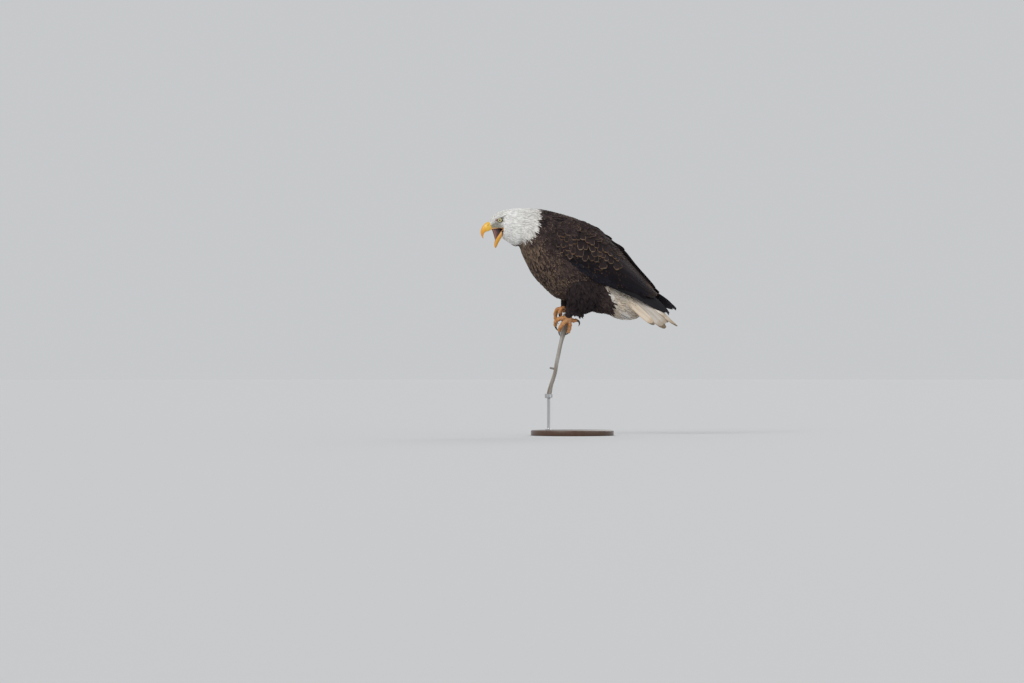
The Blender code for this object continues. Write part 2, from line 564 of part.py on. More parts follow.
def tail_grid(lift, columns, rows=5, wider=0.0):
    """One face of the arched fan, lifted off its middle surface. Across the fan q runs from -1 to 1: the
    width grows with q, the drop with its square, and the length falls with its square. Between two feathers
    the edge is notched. For a cutter, wider enlarges it at its sides and behind its root by that share.
    """
    q = np.linspace(-1, 1, columns)[None, :]
    q = q + (q == 1) * wider - (q == -1) * wider
    t = np.linspace(0, 1, rows)[:, None]
    out = t - (t == 0) * wider
    half = TAIL_HALF_WIDTH[0] + (TAIL_HALF_WIDTH[1] - TAIL_HALF_WIDTH[0]) * t**0.8
    drop = TAIL_DROP[0] + (TAIL_DROP[1] - TAIL_DROP[0]) * t**0.35
    notch = TAIL_SCALLOP * (0.5 - 0.5 * np.cos(math.tau * (q * 0.5 + 0.5) * TAIL_FEATHERS))
    length = TAIL_LENGTH - TAIL_SHORTENING * q**2 - TAIL_SCALLOP + notch
    out, down = length * out, drop * q**2 - TAIL_BOW * np.sin(math.pi * t) * (1 - q**2) - lift
    ahead = np.array((math.cos(TAIL_SLOPE), -math.sin(TAIL_SLOPE)))
    under = np.array((-math.sin(TAIL_SLOPE), -math.cos(TAIL_SLOPE)))
    side_view = np.array(TAIL_ROOT[1:]) + out[..., None] * ahead + down[..., None] * under
    return np.concatenate([(half * q)[..., None], side_view], axis=2)


def make_tail(coverts, trunk):
    """The twelve tail feathers as one arched fan, whose root lies inside the tail coverts."""
    columns = 2 * TAIL_FEATHERS + 1
    thickness = np.linspace(TAIL_THICKNESS[0], TAIL_THICKNESS[1], 5)[:, None] / 2
    fan = slab(tail_grid(thickness, columns), tail_grid(-thickness, columns))
    tail = add_object("tail", fan, "tail_feathers")
    thickness = thickness + 2 * CUT
    room = slab(tail_grid(thickness, columns, wider=0.02), tail_grid(-thickness, columns, wider=0.02))
    room = add_object("tail_room", room, "tail_feathers", helper=True)
    for piece in (coverts, trunk):
        cut_away(piece, room)
    return tail


# ---------------------------------------------------------------- legs and feet
def leg_shift(points, side):
    """Mirrors a left leg's points for the right side, and raises and advances those towards the foot."""
    if side == "left":
        return points
    share = np.clip((THIGH[0, 1] - points[..., 2:3]) / LEG_LENGTH, 0, 1)
    return points * np.array((-1.0, 1.0, 1.0)) + share * RIGHT_LEG_SHIFT


def thigh_rings(side, rings=10, sides=14, grow=0.0):
    """Oval rings between each row's front and rear points. grow enlarges them, for a cutter."""
    rows = along(THIGH, np.linspace(0, len(THIGH) - 1, rings))
    angle = np.linspace(0, math.tau, sides, endpoint=False)[None, :]
    back = ((1 - np.cos(angle)) / 2)[..., None]
    side_view = rows[:, None, 0:2] + (rows[:, None, 2:4] - rows[:, None, 0:2]) * back
    x = rows[:, 4:5] + rows[:, 5:6] * np.sin(angle)
    points = np.concatenate([x[..., None], side_view], axis=2)
    middle = points.mean(axis=1, keepdims=True)
    away = (points - middle) / np.linalg.norm(points - middle, axis=2, keepdims=True)
    points += away * grow
    points[0, :, 2] += grow
    points[-1, :, 2] -= grow
    return leg_shift(points, side)


def make_legs():
    """Each leg: the feathered thigh outside the trunk, and the feathered shank down into the foot."""
    behind = np.append(TRUNK_PLACES[3:], TRUNK_SPAN[1] + 0.4)
    trunk_room = loft(body_rings(BODY, behind, BODY_SIDES, swell=CUT))
    trunk_room = add_object("trunk_room", trunk_room, "brown_plumage", helper=True)
    for side in SIDES:
        thigh = add_object(f"thigh_{side}", loft(thigh_rings(side)), "brown_plumage")
        cut_away(thigh, trunk_room)
        path = np.linspace(leg_shift(np.array(SHANK_TOP), side), about_branch(*FOOT_PADS[side][0]), 5)
        radii = np.linspace(TARSUS_RADIUS[0], TARSUS_RADIUS[1], 5)
        shank = loft(tube_rings(path, radii, 12, (False, False)))
        shank = add_object(f"tarsus_{side}", shank, "brown_plumage")
        tarsus_room = loft(tube_rings(path, radii + CUT, 12, (False, False)))
        tarsus_room = add_object(f"tarsus_room_{side}", tarsus_room, "brown_plumage", helper=True)
        thigh_room = loft(thigh_rings(side, grow=CUT))
        thigh_room = add_object(f"thigh_room_{side}", thigh_room, "brown_plumage", helper=True)
        cut_away(shank, thigh_room)
        cut_away(shank, trunk_room)
        cut_away(shank, bpy.data.objects[f"foot_room_{side}"])
        cut_away(shank, bpy.data.objects["branch_room"])
        for digit in TOE_RADIUS:
            cut_away(bpy.data.objects[f"toe_{side}_{digit}"], tarsus_room)


def ball(centre, radii, grow=0.0):
    """An ellipsoid."""
    bm = bmesh.new()
    bmesh.ops.create_icosphere(bm, subdivisions=2, radius=1.0)
    scale = Matrix.Diagonal((*(r + grow for r in radii), 1.0))
    bmesh.ops.transform(bm, matrix=Matrix.Translation(centre) @ scale, verts=bm.verts)
    return bm


def make_feet():
    """Each foot: a pad, four toes that close on the branch, and a talon on each."""
    for side in SIDES:
        place, radii = FOOT_PADS[side]
        pad = add_object(f"foot_{side}", ball(about_branch(*place), radii), "yellow_skin")
        cut_away(pad, bpy.data.objects["branch_room"])
        add_object(f"foot_room_{side}", ball(about_branch(*place), radii, CUT), "yellow_skin", helper=True)
    for (side, digit), (bend, points) in TOES.items():
        make_toe(side, digit, np.array([about_branch(*p) for p in points]), math.radians(bend))


def make_toe(side, digit, joints, bend):
    """A toe is a tube through its joints that is a little thicker at each, and its talon is a cone that bends
    on from the toe's end along an arc, down and towards the branch."""
    path = along(joints, np.linspace(0, len(joints) - 1, 2 * len(joints)))
    share = np.linspace(0, 1, len(path))
    knuckles = 1 + 0.07 * np.cos(math.tau * share * (len(joints) - 1))
    radii = TOE_RADIUS[digit] * (1 - 0.22 * share) * knuckles
    toe = loft(tube_rings(path, radii, 7, (False, True)))
    toe = add_object(f"toe_{side}_{digit}", toe, "yellow_skin")
    cut_away(toe, bpy.data.objects[f"foot_room_{side}"])
    cut_away(toe, bpy.data.objects["branch_room"])
    tangent = path[-1] - path[-2]
    tangent /= np.linalg.norm(tangent)
    inward = about_branch(0, 0, path[-1][2]) - path[-1]
    inward = inward / np.linalg.norm(inward) * 0.6 + np.array((0, 0, -1.0))
    inward -= tangent * (inward @ tangent)
    inward /= np.linalg.norm(inward)
    turn = bend * np.linspace(0, 1, 6)[:, None]
    start = path[-1] + tangent * GAP
    arc = start + TALON_LENGTH[digit] / bend * (np.sin(turn) * tangent + (1 - np.cos(turn)) * inward)
    horn = TALON_RADIUS[digit] * (1 - np.linspace(0, 0.92, 6)) ** 0.8
    talon = loft(tube_rings(arc, horn, 6, (False, False)))
    talon = add_object(f"talon_{side}_{digit}", talon, "talon_horn")
    cut_away(talon, bpy.data.objects["branch_room"])


# ---------------------------------------------------------------- branch and stand
def branch_rings(grow=0.0, rings=18, sides=10):
    """The branch, with a slow swell at each bud and a little out of round."""
    rows = along(BRANCH, np.linspace(0, len(BRANCH) - 1, rings))
    path = np.column_stack([np.zeros(rings), rows[:, 0], rows[:, 1]])
    radii = rows[:, 2] * (1 + 0.05 * np.sin(np.arange(rings) * 2.4)) + grow
    tube = tube_rings(path, radii, sides, (False, False))
    tube[-1, :, 2] = BRANCH[-1, 1]  # the cut end is level
    return tube


def make_branch():
    """The cut length of dead branch, its broken side twig, and the room that the feet leave for it."""
    branch = add_object("perch_branch", loft(branch_rings()), "weathered_wood", smooth_angle=40)
    add_object("branch_room", loft(branch_rings(grow=CUT)), "weathered_wood", helper=True)
    y, z, radius = along(BRANCH, [STUB_AT])[0]
    outward = np.array((0.0, -1.0, 0.18))
    path = np.array([(0.0, y, z)]) + outward * np.linspace(0.3 * radius, radius + STUB_LENGTH, 4)[:, None]
    twig = loft(tube_rings(path, STUB_RADIUS * np.array((1.5, 1.0, 0.85, 0.6)), 8, (False, False)))
    twig = add_object("branch_twig", twig, "weathered_wood")
    cut_away(twig, bpy.data.objects["branch_room"])
    return branch


def turned(name, profile, centre, finish, segments=40):
    """A solid of revolution about a vertical through centre, from its profile (radius, z), top to bottom."""
    angles = np.linspace(0, math.tau, segments, endpoint=False)
    rings = np.array([[(r * math.cos(a), r * math.sin(a), z) for a in angles] for r, z in profile])
    made = add_object(name, loft(rings + np.array(centre)), finish, smooth_angle=30)
    made.parent = None
    return made


def make_stand():
    """A round wooden base, and a steel rod that holds the branch's cut end in a collar."""
    cut = GRIP + Vector((0.0, BRANCH[-1, 0], BRANCH[-1, 1]))
    edge = 0.004
    turned(
        "stand_base",
        ((BASE_RADIUS - edge, BASE_HEIGHT), (BASE_RADIUS, BASE_HEIGHT - edge), (BASE_RADIUS, 0.002),
         (BASE_RADIUS - 0.002, 0.0)),
        (0.0, 0.0, 0.0),
        "stand_wood",
        segments=40,
    )
    seat = cut.z - GAP  # the flange's top, just under the branch
    turned(
        "stand_rod",
        ((FLANGE_RADIUS, seat), (FLANGE_RADIUS, seat - FLANGE_HEIGHT), (ROD_RADIUS, seat - 2 * FLANGE_HEIGHT),
         (ROD_RADIUS, BASE_HEIGHT + 3 * FLANGE_HEIGHT), (FLANGE_RADIUS, BASE_HEIGHT + FLANGE_HEIGHT),
         (FLANGE_RADIUS, BASE_HEIGHT + GAP)),
        (0.0, cut.y, 0.0),
        "stand_steel",
        segments=20,
    )
    low, high = seat + GAP, seat + COLLAR_HEIGHT
    wall = np.array(
        (
            (COLLAR_BORE, low),
            (COLLAR_BORE, high),
            (FLANGE_RADIUS - 0.001, high),
            (FLANGE_RADIUS, high - 0.001),
            (FLANGE_RADIUS, low),
        )
    )
    angles = np.linspace(0, math.tau, 20, endpoint=False)
    rings = np.array([[(r * math.cos(a), cut.y + r * math.sin(a), z) for r, z in wall] for a in angles])
    add_object("stand_collar", loft(rings, closed=True), "stand_steel", smooth_angle=30).parent = None


# ---------------------------------------------------------------- the model
def clear_scene():
    for old in list(bpy.data.objects):
        bpy.data.objects.remove(old)


def build():
    clear_scene()
    grip = bpy.data.objects.new("grip", None)
    grip.location = GRIP
    bpy.context.scene.collection.objects.link(grip)
    head, trunk, coverts = make_body()
    make_eyes(head)
    make_bill(head)
    wing_cutters = make_wings()
    for piece in (trunk, coverts):
        for cutter in wing_cutters:
            cut_away(piece, cutter)
    tail = make_tail(coverts, trunk)
    for cutter in wing_cutters:
        cut_away(tail, cutter)
    make_branch()
    make_feet()
    make_legs()
    make_stand()


build()
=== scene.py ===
"""The looks of a life-size bald eagle that calls from the top of a dead branch, on a display stand.

Metres, +Z up; the bird faces -Y and its left side is +X. The bird is worked out about its grip on the
branch and then moved there. Each surface is a grid of points from a formula, each feather is a thin
closed vane laid along such a surface, and each coat piece joins the vanes of one part of the bird.
"""

import math

import bpy
import numpy as np
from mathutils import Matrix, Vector


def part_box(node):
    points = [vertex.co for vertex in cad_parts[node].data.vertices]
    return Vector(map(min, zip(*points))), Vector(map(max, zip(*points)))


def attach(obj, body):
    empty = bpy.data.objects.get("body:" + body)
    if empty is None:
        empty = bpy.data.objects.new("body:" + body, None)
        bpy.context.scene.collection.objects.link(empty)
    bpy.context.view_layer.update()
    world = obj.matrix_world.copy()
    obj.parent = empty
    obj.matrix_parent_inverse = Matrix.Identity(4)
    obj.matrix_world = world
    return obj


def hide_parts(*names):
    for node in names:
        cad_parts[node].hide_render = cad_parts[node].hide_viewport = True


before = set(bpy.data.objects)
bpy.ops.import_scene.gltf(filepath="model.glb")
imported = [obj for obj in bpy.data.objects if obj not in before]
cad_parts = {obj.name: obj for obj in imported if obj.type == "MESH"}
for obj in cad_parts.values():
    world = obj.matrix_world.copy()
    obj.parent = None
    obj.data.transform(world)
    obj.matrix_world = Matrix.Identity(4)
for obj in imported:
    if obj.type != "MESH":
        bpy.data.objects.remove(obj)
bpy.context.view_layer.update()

SIDES = {"left": 1, "right": -1}
BODY = "root"  # the one body of a model with no joints

# ---- driving shapes, as in the construction
# The body's stations from the face to the tail's root: top (y, z), low (y, z), half width, widest (0 to 1
# down).
TRUNK = np.array([
    (-0.3132, 0.4641, -0.3026, 0.4346, 0.0158, 0.58),  # 0 root of the bill
    (-0.2977, 0.4863, -0.2870, 0.4362, 0.0240, 0.60),
    (-0.2796, 0.4994, -0.2714, 0.4362, 0.0320, 0.56),
    (-0.2624, 0.5068, -0.2591, 0.4285, 0.0365, 0.52),  # 3 corner of the gape
    (-0.2419, 0.5129, -0.2560, 0.3975, 0.0400, 0.52),
    (-0.2169, 0.5166, -0.2370, 0.3830, 0.0440, 0.52),  # 5 back of the head
    (-0.1886, 0.5187, -0.2185, 0.3705, 0.0505, 0.52),
    (-0.1599, 0.5190, -0.2035, 0.3650, 0.0580, 0.52),
    (-0.1136, 0.5166, -0.1870, 0.3635, 0.0700, 0.52),  # 8 end of the white neck
    (-0.0738, 0.5105, -0.1743, 0.3301, 0.0850, 0.52),
    (-0.0328, 0.5002, -0.1579, 0.2952, 0.0990, 0.52),
    (0.0164, 0.4870, -0.1312, 0.2460, 0.1110, 0.54),  # 11 breast
    (0.0697, 0.4660, -0.0902, 0.1997, 0.1160, 0.56),
    (0.1107, 0.4360, -0.0400, 0.1560, 0.1120, 0.55),
    (0.1435, 0.3960, 0.0150, 0.1400, 0.1020, 0.54),
    (0.1681, 0.3500, 0.0720, 0.1180, 0.0880, 0.54),
    (0.1845, 0.3050, 0.1270, 0.0980, 0.0740, 0.56),
    (0.1968, 0.2680, 0.1763, 0.0900, 0.0600, 0.58),  # 17 vent
    (0.2150, 0.2350, 0.2180, 0.0730, 0.0500, 0.58),
    (0.2460, 0.2030, 0.2580, 0.0690, 0.0390, 0.56),
    (0.2850, 0.1700, 0.2910, 0.0750, 0.0270, 0.54),
    (0.3130, 0.1400, 0.3160, 0.0960, 0.0120, 0.52),  # 21 tips of the tail coverts
])
HEAD_TURN, NECK_PIVOT, HEAD_ROOT = math.radians(8.0), -0.120, -0.230
EYE, EYE_RADIUS = np.array((0.0248, -0.2702, 0.4695)), 0.0112
EYE_ROOM = 0.0113  # no feather grows nearer to the eye's centre than this
BROW_HEIGHT, SOCKET_DEPTH = 0.0098, 0.0050
BROW_LINE = (0.0088, 0.55)  # the shelf's edge: its height over the eye's centre, and its slope
BILL_UPPER = np.array([
    (-0.3143, 0.4637, -0.3052, 0.4312, 0.0152, 0.60),
    (-0.3271, 0.4583, -0.3175, 0.4255, 0.0146, 0.62),
    (-0.3383, 0.4481, -0.3258, 0.4230, 0.0126, 0.60),
    (-0.3449, 0.4370, -0.3325, 0.4187, 0.0104, 0.56),
    (-0.3483, 0.4250, -0.3361, 0.4122, 0.0082, 0.52),
    (-0.3473, 0.4131, -0.3374, 0.4062, 0.0060, 0.50),
    (-0.3435, 0.4028, -0.3372, 0.3998, 0.0036, 0.50),
    (-0.3382, 0.3946, -0.3367, 0.3941, 0.0011, 0.50),
])
BILL_LOWER = np.array([
    (-0.2657, 0.4250, -0.2579, 0.4097, 0.0175, 0.45),
    (-0.2717, 0.4148, -0.2605, 0.4011, 0.0165, 0.45),
    (-0.2800, 0.4028, -0.2670, 0.3900, 0.0145, 0.45),
    (-0.2865, 0.3909, -0.2736, 0.3789, 0.0120, 0.45),
    (-0.2899, 0.3772, -0.2784, 0.3687, 0.0090, 0.46),
    (-0.2909, 0.3652, -0.2826, 0.3601, 0.0060, 0.48),
    (-0.2882, 0.3568, -0.2862, 0.3562, 0.0020, 0.50),
])
PALATE_DISH, JAW_DISH = 0.50, 0.60
NOSTRIL = (-0.3183, 0.4493)  # y, z of the slit in the cere
# The left lip: from under the cere along the upper jaw to the corner of the gape, then down to the lower
# half.
GAPE = np.array([
    (0.0112, -0.3095, 0.4352),
    (0.0160, -0.2950, 0.4368),
    (0.0206, -0.2800, 0.4388),
    (0.0238, -0.2655, 0.4404),
    (0.0247, -0.2575, 0.4402),
    (0.0238, -0.2552, 0.4365),
    (0.0215, -0.2580, 0.4300),
    (0.0186, -0.2640, 0.4240),
])
GAZE, CORNEA, LID_OPENING = (0.94, -0.34, 0.02), 0.0009, 48.0  # the way an eye looks, its bulge, and degrees
# The cheeks' skin between the jaws: front edge (y, z), rear (y, z), half width, from the upper jaw to the
# lower.
MOUTH = np.array([
    (-0.3010, 0.4440, -0.2560, 0.4470, 0.0105),
    (-0.3010, 0.4345, -0.2560, 0.4350, 0.0122),
    (-0.2960, 0.4225, -0.2560, 0.4290, 0.0138),
    (-0.2925, 0.4110, -0.2580, 0.4235, 0.0144),
    (-0.2890, 0.3980, -0.2620, 0.4170, 0.0132),
    (-0.2880, 0.3900, -0.2650, 0.4100, 0.0115),
])
# A folded wing from the wrist to the tips: upper edge (x, y, z), lower edge (x, y, z), bulge between them.
WING = np.array([
    (0.092, -0.0690, 0.4080, 0.096, -0.0700, 0.3880, 0.004),
    (0.076, -0.0470, 0.4500, 0.106, -0.0540, 0.3500, 0.018),
    (0.060, 0.0082, 0.4720, 0.112, 0.0041, 0.3034, 0.030),
    (0.045, 0.0656, 0.4650, 0.108, 0.0697, 0.2575, 0.041),
    (0.031, 0.1169, 0.4455, 0.099, 0.1312, 0.2214, 0.047),
    (0.020, 0.1599, 0.4141, 0.087, 0.1840, 0.2030, 0.046),
    (0.012, 0.2009, 0.3731, 0.075, 0.2337, 0.1920, 0.041),
    (0.008, 0.2419, 0.3260, 0.063, 0.2829, 0.1790, 0.032),
    (0.006, 0.2829, 0.2788, 0.053, 0.3239, 0.1620, 0.023),
    (0.006, 0.3280, 0.2255, 0.042, 0.3540, 0.1500, 0.014),
    (0.008, 0.3700, 0.1780, 0.026, 0.3780, 0.1540, 0.004),
])
WING_THICKNESS = (0.024, 0.0045)
PRIMARIES = np.array([
    (0.068, 0.1500, 0.2700, 0.080, 0.1620, 0.2080, 0.004),
    (0.052, 0.2255, 0.2419, 0.068, 0.2337, 0.1870, 0.005),
    (0.031, 0.2911, 0.2091, 0.051, 0.2952, 0.1700, 0.004),
    (0.013, 0.3485, 0.1763, 0.031, 0.3485, 0.1420, 0.003),
    (0.007, 0.3895, 0.1456, 0.018, 0.3895, 0.1170, 0.002),
    (0.006, 0.4150, 0.1160, 0.010, 0.4174, 0.0975, 0.000),
    (0.006, 0.4255, 0.0965, 0.007, 0.4262, 0.0915, 0.000),
])
RIGHT_WING_SHIFT, RIGHT_PRIMARIES_SHIFT = np.array((0.0, 0.009, 0.008)), np.array((0.0, 0.029, 0.019))
WING_ROOT_Y, PRIMARIES_ROOT_Y, WING_TIP_Y = -0.07, 0.16, 0.42
TERTIALS_STAND_OFF, TERTIALS_AT = np.array((0.0, 0.006, 0.005)), 6.8
TAIL_ROOT, TAIL_SLOPE = np.array((0.2090, 0.2320)), math.radians(37.4)
TAIL_LENGTH, TAIL_SHORTENING, TAIL_BOW, TAIL_FEATHERS = 0.304, 0.049, 0.012, 12
TAIL_HALF_WIDTH, TAIL_DROP = (0.018, 0.066), (0.012, 0.062)
# A thigh, hip to hem: front (y, z), rear (y, z), centre x, half width.
THIGH = np.array([
    (0.0050, 0.2480, 0.1230, 0.2480, 0.052, 0.040),
    (-0.0020, 0.2173, 0.1400, 0.2091, 0.061, 0.045),
    (0.0020, 0.1720, 0.1480, 0.1560, 0.060, 0.043),
    (0.0060, 0.1360, 0.1320, 0.1130, 0.052, 0.034),
    (0.0095, 0.1130, 0.1000, 0.0950, 0.043, 0.026),
    (0.0110, 0.1000, 0.0720, 0.0850, 0.037, 0.020),
])
HEM_WAY = np.array((0.0, 0.012, -0.055))  # how the feathers hang on below the hem
RIGHT_LEG_SHIFT, LEG_LENGTH = np.array((-0.003, -0.026, 0.036)), 0.16
SHANK_TOP, TARSUS_RADIUS = np.array((0.042, 0.024, 0.124)), (0.0200, 0.0130)
# The branch's axis (y, z) and radius, from the broken top down to the cut.
BRANCH = np.array([
    (0.0070, 0.0880, 0.0110),
    (0.0060, 0.0780, 0.0132),
    (0.0000, 0.0400, 0.0136),
    (-0.0060, 0.0150, 0.0128),
    (-0.0115, -0.0100, 0.0092),
    (-0.0215, -0.0550, 0.0078),
    (-0.0345, -0.1120, 0.0076),
    (-0.0410, -0.1520, 0.0080),
    (-0.0580, -0.2100, 0.0086),
    (-0.0670, -0.2550, 0.0096),
])
STUB_AT, STUB_LENGTH, STUB_RADIUS = 6.7, 0.017, 0.0042
ROD_RADIUS, COLLAR_BORE = 0.0060, 0.0127
# Each toe: the angle its talon bends through, and its joints as (turn in degrees, radius, z) about the
# branch.
TOES = {
    ("left", 1): (150, [(52, 0.03, 0.06), (60, 0.0375, 0.0585), (66, 0.0445, 0.06)]),
    ("left", 2): (85, [
        (-28, 0.034, 0.069), (-51, 0.039, 0.064), (-70, 0.0425, 0.054), (-83, 0.04, 0.041)]),
    ("left", 3): (60, [(-2, 0.0335, 0.055), (-18, 0.034, 0.044), (-29, 0.033, 0.032), (-38, 0.03, 0.02)]),
    ("left", 4): (75, [(29, 0.0325, 0.053), (38, 0.031, 0.04), (46, 0.029, 0.026), (52, 0.026, 0.013)]),
    ("right", 1): (95, [(150, 0.024, 0.1), (160, 0.035, 0.094), (170, 0.038, 0.083)]),
    ("right", 2): (70, [(-50, 0.018, 0.109), (-53, 0.029, 0.105), (-60, 0.033, 0.093)]),
    ("right", 3): (70, [
        (-102, 0.022, 0.108), (-102, 0.039, 0.103), (-106, 0.047, 0.087), (-112, 0.046, 0.068)]),
    ("right", 4): (60, [
        (-140, 0.024, 0.107), (-142, 0.039, 0.1), (-144, 0.042, 0.085), (-148, 0.038, 0.069)]),
}
TOE_RADIUS = {1: 0.0086, 2: 0.0084, 3: 0.0086, 4: 0.0080}
TALON_LENGTH = {1: 0.038, 2: 0.034, 3: 0.031, 4: 0.027}
TALON_RADIUS = {1: 0.0070, 2: 0.0054, 3: 0.0050, 4: 0.0047}
FOOT_PADS = {
    "left": ((15, 0.0300, 0.0680), (0.0140, 0.0175, 0.0170)),
    "right": ((-125, 0.0130, 0.1040), (0.0160, 0.0165, 0.0130)),
}

# The grip's place: above the rod that holds the branch's cut end.
rod_low, rod_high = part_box("stand_rod")
branch_low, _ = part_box("perch_branch")
GRIP = np.array((0.0, (rod_low.y + rod_high.y) / 2 - BRANCH[-1, 0], branch_low.z - BRANCH[-1, 1]))

# ---- colours (linear) and the coat's measures
BROWN = np.array((0.045, 0.031, 0.031))
DARK_BROWN = np.array((0.015, 0.0100, 0.0120))
BLACK = np.array((0.0065, 0.0055, 0.0085))
# a painted sheen: blue-black that stands in for the sky's reflection on black feathers
SHEEN_BLUE_BLACK = np.array((0.013, 0.014, 0.022))
BUFF = np.array((0.205, 0.145, 0.098))
TAN = np.array((0.150, 0.085, 0.045))
WHITE = np.array((0.81, 0.80, 0.78))
SHADE = np.array((0.50, 0.49, 0.46))  # a white feather's shadowed down
CREAM = np.array((0.53, 0.445, 0.345))
STAIN_AND_EDGE_SHADE = np.array((0.26, 0.18, 0.11))  # brown wash on a white feather; on the tail feathers' edges it is also painted shade between them
HORN_YELLOW, HORN_ORANGE = np.array((0.80, 0.40, 0.035)), np.array((0.80, 0.29, 0.03))
HORN_PALE = np.array((0.85, 0.60, 0.25))
SKIN_YELLOW, SKIN_ORANGE = np.array((0.70, 0.34, 0.045)), np.array((0.62, 0.20, 0.025))
SKIN_PINK = np.array((0.74, 0.42, 0.24))
CERE_YELLOW, IRIS = np.array((0.80, 0.48, 0.055)), np.array((0.74, 0.66, 0.34))
LORES = np.array((0.27, 0.255, 0.185))
CORNER_SKIN = np.array((0.30, 0.175, 0.135))
WOOD_GREY, WOOD_PALE = np.array((0.31, 0.29, 0.265)), np.array((0.50, 0.47, 0.43))
WOOD_BROWN, WOOD_DARK = np.array((0.21, 0.165, 0.125)), np.array((0.060, 0.046, 0.038))
TALON_BLACK, TALON_BROWN = np.array((0.018, 0.016, 0.016)), np.array((0.10, 0.085, 0.060))
LID_DARK, PUPIL = np.array((0.030, 0.020, 0.017)), np.array((0.004, 0.004, 0.005))
EYE_RIM, EYE_REAR = np.array((0.010, 0.008, 0.007)), np.array((0.01, 0.01, 0.01))
# the second mouth colour is painted shade: near black, deep in the open mouth and in the nostril's slit
MOUTH_PINK, MOUTH_AND_NOSTRIL_SHADE = np.array((0.21, 0.070, 0.070)), np.array((0.022, 0.006, 0.013))

# Along the body: station, feather length, half width, spacing along, spacing round, coat depth
COAT = np.array([
    (0.0, 0.0045, 0.0006, 0.0019, 0.0013, 0.0006),
    (1.0, 0.0070, 0.0008, 0.0022, 0.0015, 0.0010),
    (2.0, 0.0105, 0.0011, 0.0027, 0.0018, 0.0015),
    (3.5, 0.0170, 0.0016, 0.0036, 0.0024, 0.0018),
    (5.0, 0.0260, 0.0023, 0.0046, 0.0032, 0.0028),
    (7.0, 0.0400, 0.0034, 0.0064, 0.0046, 0.0048),
    (8.6, 0.0430, 0.0052, 0.0084, 0.0068, 0.0080),
    (12.0, 0.0430, 0.0072, 0.0098, 0.0086, 0.0095),
    (16.0, 0.0470, 0.0072, 0.0105, 0.0086, 0.0095),
    (17.5, 0.0560, 0.0058, 0.0100, 0.0076, 0.0085),
    (21.0, 0.0560, 0.0050, 0.0092, 0.0068, 0.0040),
])
# The white neck's last roots: the angle from the top, and the station.
COLLAR = np.array([
    (0.0, 7.25), (1.05, 8.0), (1.57, 8.25), (1.87, 8.2), (2.09, 7.7), (2.6, 6.3), (3.142, 5.3),
])
CAMERA, LENS = (20.0, -0.2473, 0.3853), 171.5


# ---- curves
def along(table, places):
    """The table's rows at fractional places, on a smooth curve through them (Catmull-Rom)."""
    places = np.clip(np.asarray(places, float), 0, len(table) - 1)
    first = np.minimum(places.astype(int), len(table) - 2)
    t = (places - first)[..., None]
    before, here = table[np.maximum(first - 1, 0)], table[first]
    there, after = table[first + 1], table[np.minimum(first + 2, len(table) - 1)]
    bend = (2 * before - 5 * here + 4 * there - after) * t**2 + (3 * here - before - 3 * there + after) * t**3
    return 0.5 * (2 * here + (there - before) * t + bend)


def smoothstep(x, low, high):
    """0 at low, 1 at high, with a smooth rise between."""
    t = np.clip((x - low) / (high - low), 0, 1)
    return t * t * (3 - 2 * t)


def unit(vectors):
    """The vectors at length 1."""
    return vectors / np.maximum(np.linalg.norm(vectors, axis=-1, keepdims=True), 1e-12)


def waves(points, pitch, seed):
    """A smooth value of about -1 to 1 at each point: seven sines of about that wavelength, each along a
    random direction with a random phase, added up."""
    rng = np.random.default_rng(seed)
    ways = unit(rng.normal(size=(7, 3))) * rng.uniform(0.6, 1.5, (7, 1))
    return np.sin(points @ ways.T * math.tau / pitch + rng.uniform(0, math.tau, 7)).sum(axis=-1) / 3.2


def patchy(points, pitch, seed, middle, swing, low=0.0, high=1.0):
    """A share that wanders about middle by swing, in patches of about that pitch, kept between low and
    high."""
    return np.clip(middle + swing * waves(points, pitch, seed), low, high)


def sway(points, swing, pitch, seed, shake, shake_seed):
    """How far each vane turns aside, as an angle: a slow wave over the surface, and a little by chance."""
    chance = np.random.default_rng(shake_seed).normal(0, shake, len(points))
    return swing * waves(points, pitch, seed) + chance


def mix(a, b, share):
    """The colour a where share is 0 and b where it is 1."""
    return a + (b - a) * np.asarray(share)[..., None]


def turns(count):
    """That many angles, evenly round a circle."""
    return np.linspace(0, math.tau, count, endpoint=False)


# ---- the bird's surfaces
def turn_head(points):
    """Turns what lies ahead of the neck about the vertical through the pivot, more and more up to the
    head."""
    angle = HEAD_TURN * smoothstep(points[..., 1], NECK_PIVOT, HEAD_ROOT)
    x, y = points[..., 0], points[..., 1] - NECK_PIVOT
    turned = points.copy()
    turned[..., 0] = x * np.cos(angle) - y * np.sin(angle)
    turned[..., 1] = x * np.sin(angle) + y * np.cos(angle) + NECK_PIVOT
    return turned


def tube_section(table, places, angles, top_dish=0.0, low_dish=0.0):
    """Points round each station: the width is a sine of the angle, and the way down from the top point to
    the low one a cosine, bent so that the ring is widest where its row says. A dish hollows the top or
    the low side between two rims."""
    rows = along(table, places)
    angle = np.asarray(angles)[None, :]
    down = (1 - np.cos(angle)) / 2
    down = down + (rows[:, 5:6] - 0.5) * 4 * down * (1 - down)
    hollow = np.broadcast_to(np.reshape(low_dish, (-1, 1)), (len(rows), 1))
    down = down + top_dish * np.clip(np.cos(angle), 0, 1) ** 6 - hollow * np.clip(-np.cos(angle), 0, 1) ** 6
    low_rim, top_rim = down.max(axis=1, keepdims=True), down.min(axis=1, keepdims=True)
    down = (down - top_rim) / (low_rim - top_rim)
    top, low = rows[:, None, 0:2], rows[:, None, 2:4]
    side_view = top + (low - top) * down[..., None]
    return np.concatenate([(rows[:, 4:5] * np.sin(angle))[..., None], side_view], axis=2)


